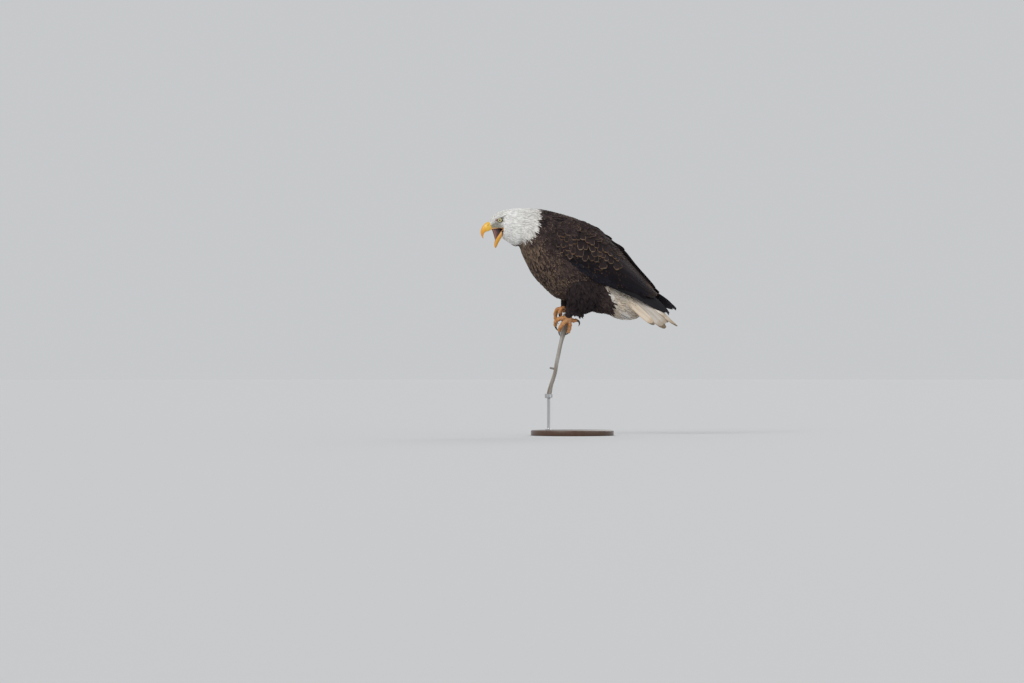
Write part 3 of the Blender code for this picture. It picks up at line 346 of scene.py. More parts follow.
def shape_face(points):
    """Raises the brow as a shelf over each eye, and sinks the socket round it and the lores ahead of it.
    In the side view the socket and the lores are bell curves. The shelf rises sharply from a slanting
    line above the eye, and falls away slowly upwards."""
    shaped = points.copy()
    y, z = points[..., 1] - EYE[1], points[..., 2] - EYE[2]
    outward = np.sign(points[..., 0]) * smoothstep(np.abs(points[..., 0]), 0.006, 0.020)
    above = z - BROW_LINE[0] - BROW_LINE[1] * y
    shelf = smoothstep(above, -0.0022, 0.0012) * np.exp(-(np.clip(above - 0.0012, 0, 1) / 0.0085) ** 2)
    ahead, behind = np.clip(-y - 0.004, 0, 1) / 0.012, np.clip(y - 0.002, 0, 1) / 0.022
    brow = shelf * np.exp(-(ahead**2) - behind**2)
    socket = np.exp(-((z / 0.0095) ** 2) - (y / np.where(y < 0, 0.0125, 0.0165)) ** 2)
    lores = np.exp(-(((z + 0.010) / 0.012) ** 2) - ((y + 0.024) / 0.012) ** 2)
    shaped[..., 0] += outward * (BROW_HEIGHT * brow - SOCKET_DEPTH * socket - 0.003 * lores)
    return shaped


class Surface:
    """A grid of points with its two directions and its normals, read between its nodes by straight
    mixing. A place on it is (row, column) in grid steps. Round a tube the columns wrap."""

    def __init__(self, points, wrap, node, way):
        """The normals are turned so that the one at the node points along the vector way."""
        self.points, self.wrap = points, wrap
        self.rows, self.columns = points.shape[:2]
        self.along = np.gradient(points, axis=0)
        if wrap:
            self.across = (np.roll(points, -1, axis=1) - np.roll(points, 1, axis=1)) / 2
        else:
            self.across = np.gradient(points, axis=1)
        normal = unit(np.cross(self.along, self.across))
        self.normal = normal * np.sign(normal[node] @ np.asarray(way, float))
        self.size = np.array((self.rows - 1, self.columns if wrap else self.columns - 1), float)

    def read(self, grid, place):
        """The grid's value at each place. Past an edge it runs on straight."""
        row = np.clip(np.floor(place[..., 0]).astype(int), 0, self.rows - 2)
        down = (place[..., 0] - row)[..., None]
        if self.wrap:
            column = np.floor(place[..., 1]).astype(int)
            over = (place[..., 1] - column)[..., None]
            column, beside = column % self.columns, (column + 1) % self.columns
        else:
            column = np.clip(np.floor(place[..., 1]).astype(int), 0, self.columns - 2)
            over = (place[..., 1] - column)[..., None]
            beside = column + 1
        near = grid[row, column] * (1 - over) + grid[row, beside] * over
        far = grid[row + 1, column] * (1 - over) + grid[row + 1, beside] * over
        return near * (1 - down) + far * down

    def at(self, place):
        """The surface's point at each place."""
        return self.read(self.points, place)

    def step(self, place, way):
        """The change of place that moves a point by the small vector way, from the two directions'
        lengths and the angle between them."""
        a, b = self.read(self.along, place), self.read(self.across, place)
        aa, ab, bb = (a * a).sum(-1), (a * b).sum(-1), (b * b).sum(-1)
        wa, wb = (way * a).sum(-1), (way * b).sum(-1)
        scale = np.maximum(aa * bb - ab * ab, 1e-16)
        return np.stack([(wa * bb - wb * ab) / scale, (wb * aa - wa * ab) / scale], axis=-1)


TRUNK_STEPS, ROUND_STEPS = 14, 96  # grid rows for each station, and columns round the body
TRUNK_PLACES = np.arange(0, 21 * TRUNK_STEPS + 1) / TRUNK_STEPS
ROUND = turns(ROUND_STEPS)


def body_points():
    """The plumage's outer surface, from the root of the bill to the tips of the tail coverts."""
    roof = 0.40 * (1 - smoothstep(TRUNK_PLACES, 1.8, 3.3))
    return turn_head(shape_face(tube_section(TRUNK, TRUNK_PLACES, ROUND, low_dish=roof)))


def right_side(face, primaries):
    """Mirrors a left wing's face, and carries it back and up as the right wing is."""
    root, shift = (PRIMARIES_ROOT_Y, RIGHT_PRIMARIES_SHIFT) if primaries else (WING_ROOT_Y, RIGHT_WING_SHIFT)
    moved = face * np.array((-1.0, 1.0, 1.0)) + smoothstep(face[..., 1:2], root, WING_TIP_Y) * shift
    if not primaries:
        place = np.linspace(0, len(WING) - 1, len(face))[:, None, None]
        near_edge = np.linspace(1, 0, face.shape[1])[None, :, None] ** 3
        moved = moved + np.exp(-(((place - TERTIALS_AT) / 0.9) ** 2)) * near_edge * TERTIALS_STAND_OFF
    return moved


def wing_points(side, table=WING, rows=101, columns=33):
    """A folded wing's outer face: straight from the upper edge to the lower one, with a bulge that is a
    power of a sine across it."""
    stations = along(table, np.linspace(0, len(table) - 1, rows))
    across = np.linspace(0, 1, columns)[None, :, None]
    face = stations[:, None, 0:3] + (stations[:, None, 3:6] - stations[:, None, 0:3]) * across
    face[..., 0] += stations[:, 6:7] * np.sin(math.pi * across[..., 0]) ** 0.85
    return right_side(face, table is PRIMARIES) if side == "right" else face


def tail_points(rows=41, columns=97):
    """The tail's arched fan. Across it q runs from -1 to 1: the width grows with q, the drop with its
    square, and the length falls with its square."""
    q, t = np.linspace(-1, 1, columns)[None, :], np.linspace(0, 1, rows)[:, None]
    half = TAIL_HALF_WIDTH[0] + (TAIL_HALF_WIDTH[1] - TAIL_HALF_WIDTH[0]) * t**0.8
    drop = TAIL_DROP[0] + (TAIL_DROP[1] - TAIL_DROP[0]) * t**0.35
    out = (TAIL_LENGTH - TAIL_SHORTENING * q**2) * t
    under = drop * q**2 - TAIL_BOW * np.sin(math.pi * t) * (1 - q**2)
    y = TAIL_ROOT[0] + out * math.cos(TAIL_SLOPE) - under * math.sin(TAIL_SLOPE)
    z = TAIL_ROOT[1] - out * math.sin(TAIL_SLOPE) - under * math.cos(TAIL_SLOPE)
    return np.stack([half * q, y, z], axis=-1)


def leg_shift(points, side):
    """Mirrors a left leg's points for the right side, and raises and advances those towards the foot."""
    if side == "left":
        return points
    share = np.clip((THIGH[0, 1] - points[..., 2:3]) / LEG_LENGTH, 0, 1)
    return points * np.array((-1.0, 1.0, 1.0)) + share * RIGHT_LEG_SHIFT


def thigh_points(side, rows=61, columns=48, below=0):
    """Oval rings between each row's front and rear points, with more hanging below the hem if asked for."""
    stations = along(THIGH, np.linspace(0, len(THIGH) - 1, rows))
    angle = turns(columns)[None, :]
    back = ((1 - np.cos(angle)) / 2)[..., None]
    side_view = stations[:, None, 0:2] + (stations[:, None, 2:4] - stations[:, None, 0:2]) * back
    x = stations[:, 4:5] + stations[:, 5:6] * np.sin(angle)
    rings = np.concatenate([x[..., None], side_view], axis=2)
    if below:
        hem, share = rings[-1], np.linspace(0, 1, below + 1)[1:, None, None]
        hanging = hem + (hem.mean(axis=0) - hem) * 0.18 * share + HEM_WAY * share
        rings = np.concatenate([rings, hanging])
    return leg_shift(rings, side)


def about_branch(turn, radius, z):
    """A point at that turn and radius about the branch's axis, at the height z."""
    axis_y = np.interp(-z, -BRANCH[:, 1], BRANCH[:, 0])
    angle = math.radians(turn)
    return np.array((radius * math.cos(angle), axis_y + radius * math.sin(angle), z))


def carried(path, radii, sides, start=None, flat=1.0):
    """Rings carried along a path without twist: each is a circle square to the path, flattened by the
    factor flat along its second direction."""
    path, radii = np.asarray(path, float), np.broadcast_to(radii, len(path))
    tangents = unit(np.gradient(path, axis=0))
    if start is None:
        start = (0.0, 0.3, 1.0) if abs(tangents[0][2]) < 0.9 else (1.0, 0.0, 0.0)
    side = unit(np.cross(tangents[0], start))
    angles = turns(sides)
    rings = []
    for point, tangent, radius in zip(path, tangents, radii):
        side = unit(side - tangent * (side @ tangent))
        second = np.cross(tangent, side) * flat
        rings.append(point + radius * (np.outer(np.cos(angles), side) + np.outer(np.sin(angles), second)))
    return np.array(rings)


def capped(path, radii):
    """The path and radii with half-round ends added: a quarter circle of the end's own radius, beyond
    it."""
    path, radii = np.asarray(path, float), np.array(np.broadcast_to(radii, len(path)), float)
    turn = np.linspace(0, math.pi / 2, 7)[1:] * 0.985
    out, shrink = np.sin(turn)[:, None], np.cos(turn)
    first = path[0] + unit(path[0] - path[1]) * radii[0] * out
    last = path[-1] + unit(path[-1] - path[-2]) * radii[-1] * out
    radii = np.concatenate([(radii[0] * shrink)[::-1], radii, radii[-1] * shrink])
    return np.vstack([first[::-1], path, last]), radii


# ---- meshes
def new_mesh(name, points, faces):
    """A mesh of four-cornered faces from whole arrays. A corner given twice makes a face three-cornered."""
    mesh = bpy.data.meshes.new(name)
    points, faces = np.asarray(points, np.float32).reshape(-1, 3), np.asarray(faces, np.int32)
    closed = faces[:, 3] != faces[:, 2]
    corners = np.where(closed, 4, 3)
    keep = np.ones(faces.shape, bool)
    keep[~closed, 3] = False
    indices = faces[keep]
    starts = np.concatenate([[0], np.cumsum(corners)[:-1]])
    mesh.vertices.add(len(points))
    mesh.vertices.foreach_set("co", points.ravel())
    mesh.loops.add(len(indices))
    mesh.loops.foreach_set("vertex_index", indices)
    mesh.polygons.add(len(faces))
    mesh.polygons.foreach_set("loop_start", starts.astype(np.int32))
    mesh.update(calc_edges=True)
    mesh.shade_smooth()
    return mesh


def grid_faces(rows, columns, wrap):
    """The four-cornered faces between a grid's points, counted row by row."""
    i, j = np.meshgrid(np.arange(rows - 1), np.arange(columns if wrap else columns - 1), indexing="ij")
    k, row, next_row = (j + 1) % columns, i * columns, (i + 1) * columns
    return np.stack([row + j, row + k, next_row + k, next_row + j], axis=-1).reshape(-1, 4)


def ring_faces(rows, columns):
    """The faces of a grid that is closed both ways."""
    return grid_faces(rows + 1, columns, True) % (rows * columns)


def tube_mesh(rings):
    """A closed tube's points and faces: the grid of its rings, and a fan over each end."""
    rows, columns = rings.shape[:2]
    points = np.vstack([rings.reshape(-1, 3), rings[0].mean(0), rings[-1].mean(0)])
    j = np.arange(columns)
    k, start, end, last = (j + 1) % columns, rows * columns, rows * columns + 1, (rows - 1) * columns
    head = np.stack([k, j, np.full_like(j, start), np.full_like(j, start)], axis=-1)
    tail = np.stack([last + j, last + k, np.full_like(j, end), np.full_like(j, end)], axis=-1)
    return points, np.vstack([grid_faces(rows, columns, True), head, tail])


def turned_over(faces):
    """The faces with their sides swapped, the three-cornered ones among them too."""
    return np.where(faces[:, 2:3] == faces[:, 3:4], faces[:, [1, 0, 2, 3]], faces[:, ::-1])


def outward(points, faces):
    """The faces turned outwards, judged by the sign of the volume that they enclose."""
    corner = points[faces]
    volume = np.einsum("ij,ij->i", corner[:, 0], np.cross(corner[:, 1], corner[:, 2])).sum()
    volume += np.einsum("ij,ij->i", corner[:, 0], np.cross(corner[:, 2], corner[:, 3])).sum()
    return faces if volume >= 0 else turned_over(faces)


def join(shapes):
    """Several (points, faces) as one."""
    offsets = np.cumsum([0] + [len(points) for points, _ in shapes[:-1]])
    return np.vstack([p for p, _ in shapes]), np.vstack([f + o for (_, f), o in zip(shapes, offsets)])


def solid(shapes):
    """Several closed shapes as one, each turned outwards."""
    return join([(points, outward(points, faces)) for points, faces in shapes])


def paint(mesh, name, colours, strength=None):
    """Gives the mesh a colour attribute at its points, with strength as its alpha."""
    attribute = mesh.color_attributes.new(name, "FLOAT_COLOR", "POINT")
    values = np.ones((len(mesh.vertices), 4), np.float32)
    values[:, :3] = np.clip(colours, 0, 1)
    if strength is not None:
        values[:, 3] = strength
    attribute.data.foreach_set("color", values.ravel())


def new_object(name, data):
    """An object in the scene that shows the data."""
    made = bpy.data.objects.new(name, data)
    bpy.context.scene.collection.objects.link(made)
    return made


def add_piece(mesh, slot, *replaced, materials=(), at=GRIP):
    """Moves the mesh from the bird's own coordinates to the grip and makes it a piece of the model."""
    mesh.vertices.foreach_set("co", (points_of(mesh) + np.asarray(at)).astype(np.float32).ravel())
    mesh.update()
    piece = new_object(mesh.name, mesh)
    for material in materials:
        mesh.materials.append(material)
    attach(piece, BODY)
    if replaced:
        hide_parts(*replaced)
    return piece


def add_painted(name, shape, tone, slot, material, *replaced):
    """A piece from a closed shape (points, faces), with a tone for each point."""
    mesh = new_mesh(name, *shape)
    paint(mesh, "tone", tone)
    return add_piece(mesh, slot, *replaced, materials=[material])


def with_ends(tone, first, last):
    """The tones of a tube's rings, then those of the middles of its two ends."""
    return np.vstack([np.asarray(tone).reshape(-1, 3), [first, last]])


def points_of(mesh):
    """The mesh's points as one array."""
    points = np.empty(len(mesh.vertices) * 3, np.float32)
    mesh.vertices.foreach_get("co", points)
    return points.reshape(-1, 3)


def faces_of(mesh):
    """The mesh's faces as four corners each, a three-cornered one with its last corner twice."""
    starts = np.empty(len(mesh.polygons), np.int32)
    totals = np.empty(len(mesh.polygons), np.int32)
    corners = np.empty(len(mesh.loops), np.int32)
    mesh.polygons.foreach_get("loop_start", starts)
    mesh.polygons.foreach_get("loop_total", totals)
    mesh.loops.foreach_get("vertex_index", corners)
    return corners[starts[:, None] + np.minimum(np.arange(4)[None, :], totals[:, None] - 1)]


def refined(points, faces, *modifiers):
    """Runs (type, settings) modifiers over a shape and returns the result's points and faces."""
    mesh = new_mesh("work", points, faces)
    work = new_object("work", mesh)
    for kind, settings in modifiers:
        modifier = work.modifiers.new(kind, kind)
        for key, value in settings.items():
            setattr(modifier, key, value)
    result = work.evaluated_get(bpy.context.evaluated_depsgraph_get()).to_mesh()
    found = points_of(result), faces_of(result)
    bpy.data.objects.remove(work)
    bpy.data.meshes.remove(mesh)
    return found


# ---- feathers
# A vane's cut: where its cross rows lie along it (t), and how many points lie across its upper face.
TINY = (np.array((0.0, 0.40, 0.78, 1.0)), 3)
FINE = (np.array((0.0, 0.30, 0.60, 0.85, 1.0)), 3)
PLAIN = (np.array((0.0, 0.22, 0.45, 0.66, 0.82, 0.94, 1.0)), 3)
BROAD = (np.array((0.0, 0.18, 0.38, 0.56, 0.72, 0.84, 0.93, 0.98, 1.0)), 5)
BLUNT = (np.concatenate([np.linspace(0.0, 0.78, 11), (0.85, 0.90, 0.935, 0.96, 0.978, 0.991, 1.0)]), 7)
ROOT_PATCH = 0.003  # how large a vane's patch is on the bake's map


def outline(t, fullness, stem, shoulder):
    """A vane's half width, as a share of its greatest: it opens from the stem's share at the root with a
    root curve, and from the shoulder on it closes to its tip in an oval whose power is the fullness (1.2
    pointed, 3 blunt)."""
    opening = stem + (1 - stem) * np.clip(t / 0.42, 0, 1) ** 0.6
    closing = (1 - np.clip((t - shoulder) / (1.005 - shoulder), 0, 1) ** fullness) ** (1 / fullness)
    return opening * closing


def vane_faces(rows, across):
    """The faces of one vane: a flat tube round its two faces, closed at the root and at the tip."""
    ring = 2 * across - 2
    j = np.arange(across - 1)
    lower = np.concatenate([[0], np.arange(ring - 1, across - 1, -1), [across - 1]])  # left to right below
    end = np.stack([j, lower[j], lower[j + 1], j + 1], axis=-1)
    if across > 3:
        end[0] = (0, lower[1], 1, 1)
        end[-1] = (across - 2, lower[across - 2], across - 1, across - 1)
    else:
        end = np.array([(0, 3, 2, 1)])
    return np.vstack([grid_faces(rows, ring, True), end, turned_over(end) + (rows - 1) * ring])


def each_vane(value, count):
    """One value for each vane."""
    return np.broadcast_to(np.asarray(value, float), (count,))


def lay(surface, roots, length, half_width, cut=PLAIN, depth=0.008, lift=0.001, pull=(0, 0, 0), turn=0.0,
        fullness=2.0, stem=0.25, shoulder=0.42, camber=0.12, thickness=0.0003, ragged=0.12, slant=0.07,
        seed=1, tile=(0, 0, 1, 1)):
    """Vanes laid on a surface from their roots, which are places on it. Each walks in steps along the
    surface's own lines, bent by the vector pull and turned by the angle turn, so that it follows the
    form. Its height runs from the coat's depth below the surface to the lift above it: -depth (1-t)^1.3 +
    lift t^2. Across it the vane droops by camber times the square of the way out, and its two faces part
    by the thickness.
    """
    count, (steps, across) = len(roots), cut
    rng = np.random.default_rng(seed)
    length, half_width, depth, lift, turn = (
        each_vane(value, count) for value in (length, half_width, depth, lift, turn))
    length = length * rng.uniform(0.88, 1.12, count)
    half_width = half_width * rng.uniform(0.88, 1.12, count)
    lift = lift + rng.uniform(-0.25, 0.25, count) * half_width * 0.25
    roll = rng.normal(0, slant, count)[:, None]
    pull = np.broadcast_to(np.asarray(pull, float), (count, 3))
    x = np.linspace(-1, 1, across)
    over = np.concatenate([x, x[-2:0:-1]])  # round the vane: its upper face, then back along the lower one
    face = np.concatenate([np.ones(across), -np.ones(across - 2)])
    place, rows = np.array(roots, float), []
    for k, t in enumerate(steps):
        normal = unit(surface.read(surface.normal, place))
        way = unit(unit(surface.read(surface.along, place)) + pull)
        way = unit(way - normal * (way * normal).sum(-1, keepdims=True))
        side = np.cross(normal, way)
        way = way * np.cos(turn)[:, None] + side * np.sin(turn)[:, None]
        side = np.cross(normal, way)
        width = half_width * outline(np.full(count, t), fullness, stem, shoulder)
        edges = 1 + ragged * rng.uniform(-1, 1, (count, len(over))) * (np.abs(over) > 0.9)
        out = over[None, :] * width[:, None] * edges
        spot = place[:, None, :] + surface.step(place, side)[:, None, :] * out[..., None]
        height = -depth * (1 - t) ** 1.3 + lift * t**2
        height = height[:, None] - camber * half_width[:, None] * over**2 * min(1.0, 2 * t) + roll * out
        height = height + face * thickness * (1 - over**2)
        up = unit(surface.read(surface.normal, spot))
        rows.append(surface.at(spot) + up * height[..., None])
        if k + 1 < len(steps):
            place = place + surface.step(place, way * (length * (steps[k + 1] - t))[:, None])
            place[:, 0] = np.clip(place[:, 0], -2.0, surface.rows + 1.0)
    faces = vane_faces(len(steps), across)
    faces = faces[None] + (np.arange(count) * len(steps) * len(over))[:, None, None]
    vane_uv = np.stack(np.broadcast_arrays(over[None, :] / 2 + 0.5, steps[:, None]), axis=-1)
    vane_uv = np.broadcast_to(vane_uv, (count, *vane_uv.shape))
    corner = np.array(roots) / surface.size * (tile[2] - ROOT_PATCH, tile[3] - ROOT_PATCH) + tile[:2]
    bake_uv = corner[:, None, None, :] + vane_uv * ROOT_PATCH
    return {"points": np.stack(rows, axis=1), "faces": faces.reshape(-1, 4), "vane": vane_uv, "bake": bake_uv}


def coloured(vanes, tone, rim, strength):
    """Notes each vane's colour, its rim's colour, how strongly the rim shows, and a share picked by
    chance."""
    count, rows, ring = vanes["points"].shape[:3]
    chance = np.random.default_rng(count).uniform(0, 1, count)
    for key, value, shape in (("tone", tone, (count, 3)), ("rim", rim, (count, 3)),
                              ("strength", strength, (count,)), ("chance", chance, (count,))):
        vanes[key] = np.repeat(np.broadcast_to(value, shape), rows * ring, axis=0)
    return vanes


def coat(name, tracts, slot, material, *replaced):
    """Joins tracts of coloured vanes into one piece, with its two maps and its colour attributes."""
    points, faces = join([(v["points"].reshape(-1, 3), v["faces"]) for v in tracts])
    mesh = new_mesh(name, points, faces)
    mesh.set_sharp_from_angle(angle=math.radians(70))
    corners = np.empty(len(mesh.loops), np.int32)
    mesh.loops.foreach_get("vertex_index", corners)
    for key, layer in (("vane", "Vane"), ("bake", "OFBake")):
        values = np.concatenate([v[key].reshape(-1, 2) for v in tracts]).astype(np.float32)
        mesh.uv_layers.new(name=layer).data.foreach_set("uv", values[corners].ravel())
    mesh.uv_layers.active = mesh.uv_layers["Vane"]
    mesh.uv_layers["Vane"].active_render = True
    for key, share in (("tone", "chance"), ("rim", "strength")):
        paint(mesh, key, *(np.concatenate([v[values] for v in tracts]) for values in (key, share)))
    return add_piece(mesh, slot, *replaced, materials=[material])


def staggered(surface, first, last, apart_along, apart_round, seed, jitter=0.32, span=(0.0, 1.0)):
    """Roots in rows across a surface, like tiles: every second row half a step over, all a little shaken.
    How far apart they lie along and round the surface is a length, or a function of the row."""
    rng = np.random.default_rng(seed)
    row, number, found = first, 0, []
    dense = np.linspace(span[0], span[1], 97) * surface.size[1]
    while row < last:
        gap, apart = (value(row) if callable(value) else value for value in (apart_along, apart_round))
        places = np.stack([np.full(97, row), dense], axis=-1)
        reach = np.linalg.norm(np.diff(surface.at(places), axis=0), axis=1)
        reach = np.concatenate([[0], np.cumsum(reach)])
        count = max(2, int(round(reach[-1] / apart)))
        marks = (np.arange(count) + 0.25 + 0.5 * (number % 2) + rng.uniform(-jitter, jitter, count)) / count
        marks = marks % 1.0 if surface.wrap else np.clip(marks, 0, 1)
        columns = np.interp(marks * reach[-1], reach, dense)
        pace = np.linalg.norm(surface.read(surface.along, places), axis=1).mean()
        shaken = row + rng.uniform(-jitter, jitter, count) * gap / pace
        found.append(np.stack([np.clip(shaken, first, last), columns], axis=-1))
        row, number = row + gap / pace, number + 1
    return np.concatenate(found)


# ---- the surfaces that the coat lies on
body = Surface(body_points(), True, (150, 24), (1, 0, 0))
wings, drapes, primaries, thighs, trousers = {}, {}, {}, {}, {}
for side, sign in SIDES.items():
    out = (sign, 0, 0)
    wings[side] = Surface(wing_points(side), False, (50, 16), out)
    drapes[side] = Surface(wing_points(side).transpose(1, 0, 2), False, (16, 50), out)
    primaries[side] = Surface(wing_points(side, PRIMARIES, 61, 17), False, (30, 8), out)
    thighs[side] = Surface(thigh_points(side), True, (30, 12), out)
    trousers[side] = Surface(thigh_points(side, below=22), True, (30, 12), out)
tail_face = Surface(tail_points(), False, (20, 48), (0, 0.6, 1))


def cloak(targets, reach, smoothing):
    """The body's surface pushed straight out onto the far face of the pieces lying on it, within reach, and
    smoothed, so that feathers laid on it run up over their edges."""
    points, faces = body.points.reshape(-1, 3), grid_faces(body.rows, body.columns, True)
    if np.cross(points[1] - points[0], points[ROUND_STEPS] - points[0]) @ body.normal[0, 0] < 0:
        faces = faces[:, ::-1]
    settings = {"wrap_method": "PROJECT", "use_positive_direction": True, "use_negative_direction": False,
                "cull_face": "BACK", "project_limit": reach}
    wraps = [("SHRINKWRAP", {**settings, "target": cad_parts[target]}) for target in targets]
    found, _ = refined(points + GRIP, faces, *wraps)
    found = found.astype(float).reshape(body.points.shape) - GRIP
    rise = ((found - body.points) * body.normal).sum(-1)
    raised = rise > 0.0005
    for _ in range(smoothing):
        rise = (rise + np.roll(rise, 1, 1) + np.roll(rise, -1, 1)) / 3
        rise[1:-1] = (rise[:-2] + rise[1:-1] + rise[2:]) / 3
    surface = Surface(body.points + body.normal * rise[..., None], True, (150, 24), body.normal[150, 24])
    surface.raised = raised.astype(float)[..., None]
    return surface


# ---- markings, the same on skin and coat
def collar_edge(angle):
    """The station of the last white roots at each angle from the top, the same on both sides, with a slow
    wander. Their feathers reach a feather's length further."""
    turn = np.abs((angle + math.pi) % math.tau - math.pi)
    return np.interp(turn, COLLAR[:, 0], COLLAR[:, 1]) + 0.10 * np.sin(5 * angle + 0.6)


def plumage_tone(place, points, seed):
    """The coat's colour at each place (station, angle) of the body: white ahead of the collar and behind
    the vent, brown between them. Broad patches of painted shade wander over the white, which darkens
    with painted shade down the neck, and lighter patches of colour lie over the breast."""
    station, angle = place[..., 0], place[..., 1]
    drift = waves(points, 0.05, seed)
    fine = waves(points, 0.017, seed + 1)
    # painted shade: the white darkens in broad patches and down the neck towards the brown
    white = mix(WHITE, SHADE, 0.10 + 0.12 * drift + 0.10 * fine + 0.40 * smoothstep(station, 4.5, 7.0))
    nape = smoothstep(station, 5.5, 8.0)
    white = mix(white, CREAM, 0.10 * nape)
    brown = mix(BROWN, DARK_BROWN, 0.45 + 0.35 * drift + 0.25 * fine)
    breast = smoothstep(-np.cos(angle), -0.25, 0.6) * (1 - smoothstep(station, 11.5, 13.5))
    brown = mix(brown, TAN * 0.8, np.clip(0.16 * breast * (1 + fine), 0, 1))
    throat = smoothstep(-np.cos(angle), -0.1, 0.7) * (1 - smoothstep(station, 8.8, 10.6))
    brown = mix(brown, BUFF * 0.9, np.clip(0.40 * throat * (1 + fine), 0, 1))
    tone = np.where((station < collar_edge(angle))[..., None], white, brown)
    return np.where((station > vent_edge(angle))[..., None], vent_tone(points, seed), tone)


def vent_tone(points, seed):
    """White tail coverts washed with cream and, in patches, with brown."""
    vent = mix(WHITE * 0.80, CREAM, patchy(points, 0.05, seed, 0.75, 0.4))
    return mix(vent, STAIN_AND_EDGE_SHADE, patchy(points, 0.017, seed + 1, 0.15, 0.45, 0, 0.6))


def vent_edge(angle):
    """The station where the brown vent gives way to the white tail coverts: furthest forward high on the
    side."""
    return np.interp(np.cos(angle), (-1.0, -0.32, 0.0, 0.2), (16.3, 16.7, 16.2, 15.5))


def trunk_place(roots):
    """Grid places on the body as (station, angle)."""
    angle = (roots[..., 1] % ROUND_STEPS) * math.tau / ROUND_STEPS
    return np.stack([roots[..., 0] / TRUNK_STEPS, angle], axis=-1)


def coat_measure(station):
    """Feather length, half width, spacing along, spacing round and coat depth at each station."""
    return np.stack([np.interp(station, COAT[:, 0], COAT[:, k]) for k in range(1, 6)])


# ---- shader node groups and materials
def node_group(name, inputs, outputs):
    """A shader node group with the given sockets, and its input and output nodes."""
    group = bpy.data.node_groups.new(name, "ShaderNodeTree")
    for direction, sockets in (("INPUT", inputs), ("OUTPUT", outputs)):
        for label, kind, value in sockets:
            made = group.interface.new_socket(name=label, in_out=direction, socket_type=f"NodeSocket{kind}")
            if value is not None:
                made.default_value = value
    return group, group.nodes.new("NodeGroupInput"), group.nodes.new("NodeGroupOutput")


def link(tree, source, target):
    """Joins an output socket to an input socket."""
    tree.links.new(source, target)


def set_inputs(node, **values):
    """Sets the node's sockets of those names to constants, a space in a name written as an underscore."""
    for name, value in values.items():
        node.inputs[name.replace("_", " ")].default_value = value


def value_of(tree, operation, first, second=None, third=None):
    """A Math node on sockets or numbers, and its result."""
    node = tree.nodes.new("ShaderNodeMath")
    node.operation = operation
    for socket, value in zip(node.inputs, (first, second, third)):
        if isinstance(value, (int, float)):
            socket.default_value = value
        elif value is not None:
            link(tree, value, socket)
    return node.outputs[0]


def times(tree, first, second):
    """One value times another."""
    return value_of(tree, "MULTIPLY", first, second)


def scaled(tree, value, factor, offset):
    """The value times the factor, plus the offset."""
    return value_of(tree, "MULTIPLY_ADD", value, factor, offset)


def blended(tree, share, first, second, mode="MIX"):
    """A Mix node on colours, and its result."""
    node = tree.nodes.new("ShaderNodeMix")
    node.data_type, node.blend_type = "RGBA", mode
    for socket, value in ((node.inputs[0], share), (node.inputs[6], first), (node.inputs[7], second)):
        if isinstance(value, (int, float)):
            socket.default_value = value
        elif isinstance(value, tuple):
            socket.default_value = (*value, 1.0)
        else:
            link(tree, value, socket)
    return node.outputs[2]


def span_of(tree, value, low, high):
    """A Map Range node: 0 at low, 1 at high, with a smooth rise between."""
    node = tree.nodes.new("ShaderNodeMapRange")
    node.interpolation_type = "SMOOTHSTEP"
    link(tree, value, node.inputs["Value"])
    set_inputs(node, From_Min=low, From_Max=high)
    return node.outputs["Result"]


def noise_of(tree, scale, detail=3.0, roughness=0.55, stretch=None, vector=None):
    """A noise texture on the piece's own coordinates, stretched by the given scales of X, Y and Z."""
    if vector is None:
        vector = tree.nodes.new("ShaderNodeTexCoord").outputs["Object"]
    if stretch:
        mapping = tree.nodes.new("ShaderNodeMapping")
        set_inputs(mapping, Scale=stretch)
        link(tree, vector, mapping.inputs["Vector"])
        vector = mapping.outputs["Vector"]
    node = tree.nodes.new("ShaderNodeTexNoise")
    set_inputs(node, Scale=scale, Detail=detail, Roughness=roughness)
    link(tree, vector, node.inputs["Vector"])
    return node.outputs["Fac"]


def shaded(tree, tone, light):
    """The colour tone times the value light."""
    shade = tree.nodes.new("ShaderNodeCombineColor")
    for channel in shade.inputs[:3]:
        link(tree, light, channel)
    return blended(tree, 1.0, tone, shade.outputs["Color"], "MULTIPLY")


def vane_map(tree):
    """The way across and the way along a vane, from its own map."""
    uv = tree.nodes.new("ShaderNodeUVMap")
    uv.uv_map = "Vane"
    split = tree.nodes.new("ShaderNodeSeparateXYZ")
    link(tree, uv.outputs["UV"], split.inputs[0])
    return split.outputs["X"], split.outputs["Y"]


def attribute(tree, name):
    """A node that reads one of the piece's colour attributes."""
    node = tree.nodes.new("ShaderNodeAttribute")
    node.attribute_name = name
    return node


def vane_marks():
    """A feather's own pattern from its map: its shaft, its rim, and the barbs that run out and forwards
    from the shaft as fine lines, more of them along a long feather. x is the way out from the shaft and y
    the way to the tip, both 0 to 1."""
    results = [(label, "Float", None) for label in ("Shaft", "Rim", "Barbs", "Along")]
    tree, given, out = node_group("vane_marks", [("Barb Rows", "Float", 34.0)], results)
    across, y = vane_map(tree)
    x = value_of(tree, "ABSOLUTE", scaled(tree, across, 2.0, -1.0))
    wobble = scaled(tree, noise_of(tree, 90.0), 0.5, -0.25)
    far = value_of(tree, "MAXIMUM", x, scaled(tree, y, 2.0, -1.0))
    rim = span_of(tree, value_of(tree, "ADD", far, times(tree, wobble, 0.4)), 0.76, 0.93)
    rim = times(tree, rim, span_of(tree, y, 0.30, 0.62))
    line = scaled(tree, x, -5.0, times(tree, y, given.outputs["Barb Rows"]))
    line = scaled(tree, wobble, 8.0, times(tree, line, 3.0))
    barbs = scaled(tree, value_of(tree, "SINE", line), 0.5, 0.5)
    shaft = span_of(tree, value_of(tree, "SUBTRACT", 0.14, x), 0.0, 0.10)
    for socket, value in (("Shaft", shaft), ("Rim", rim), ("Barbs", barbs), ("Along", y)):
        link(tree, value, out.inputs[socket])
    return tree


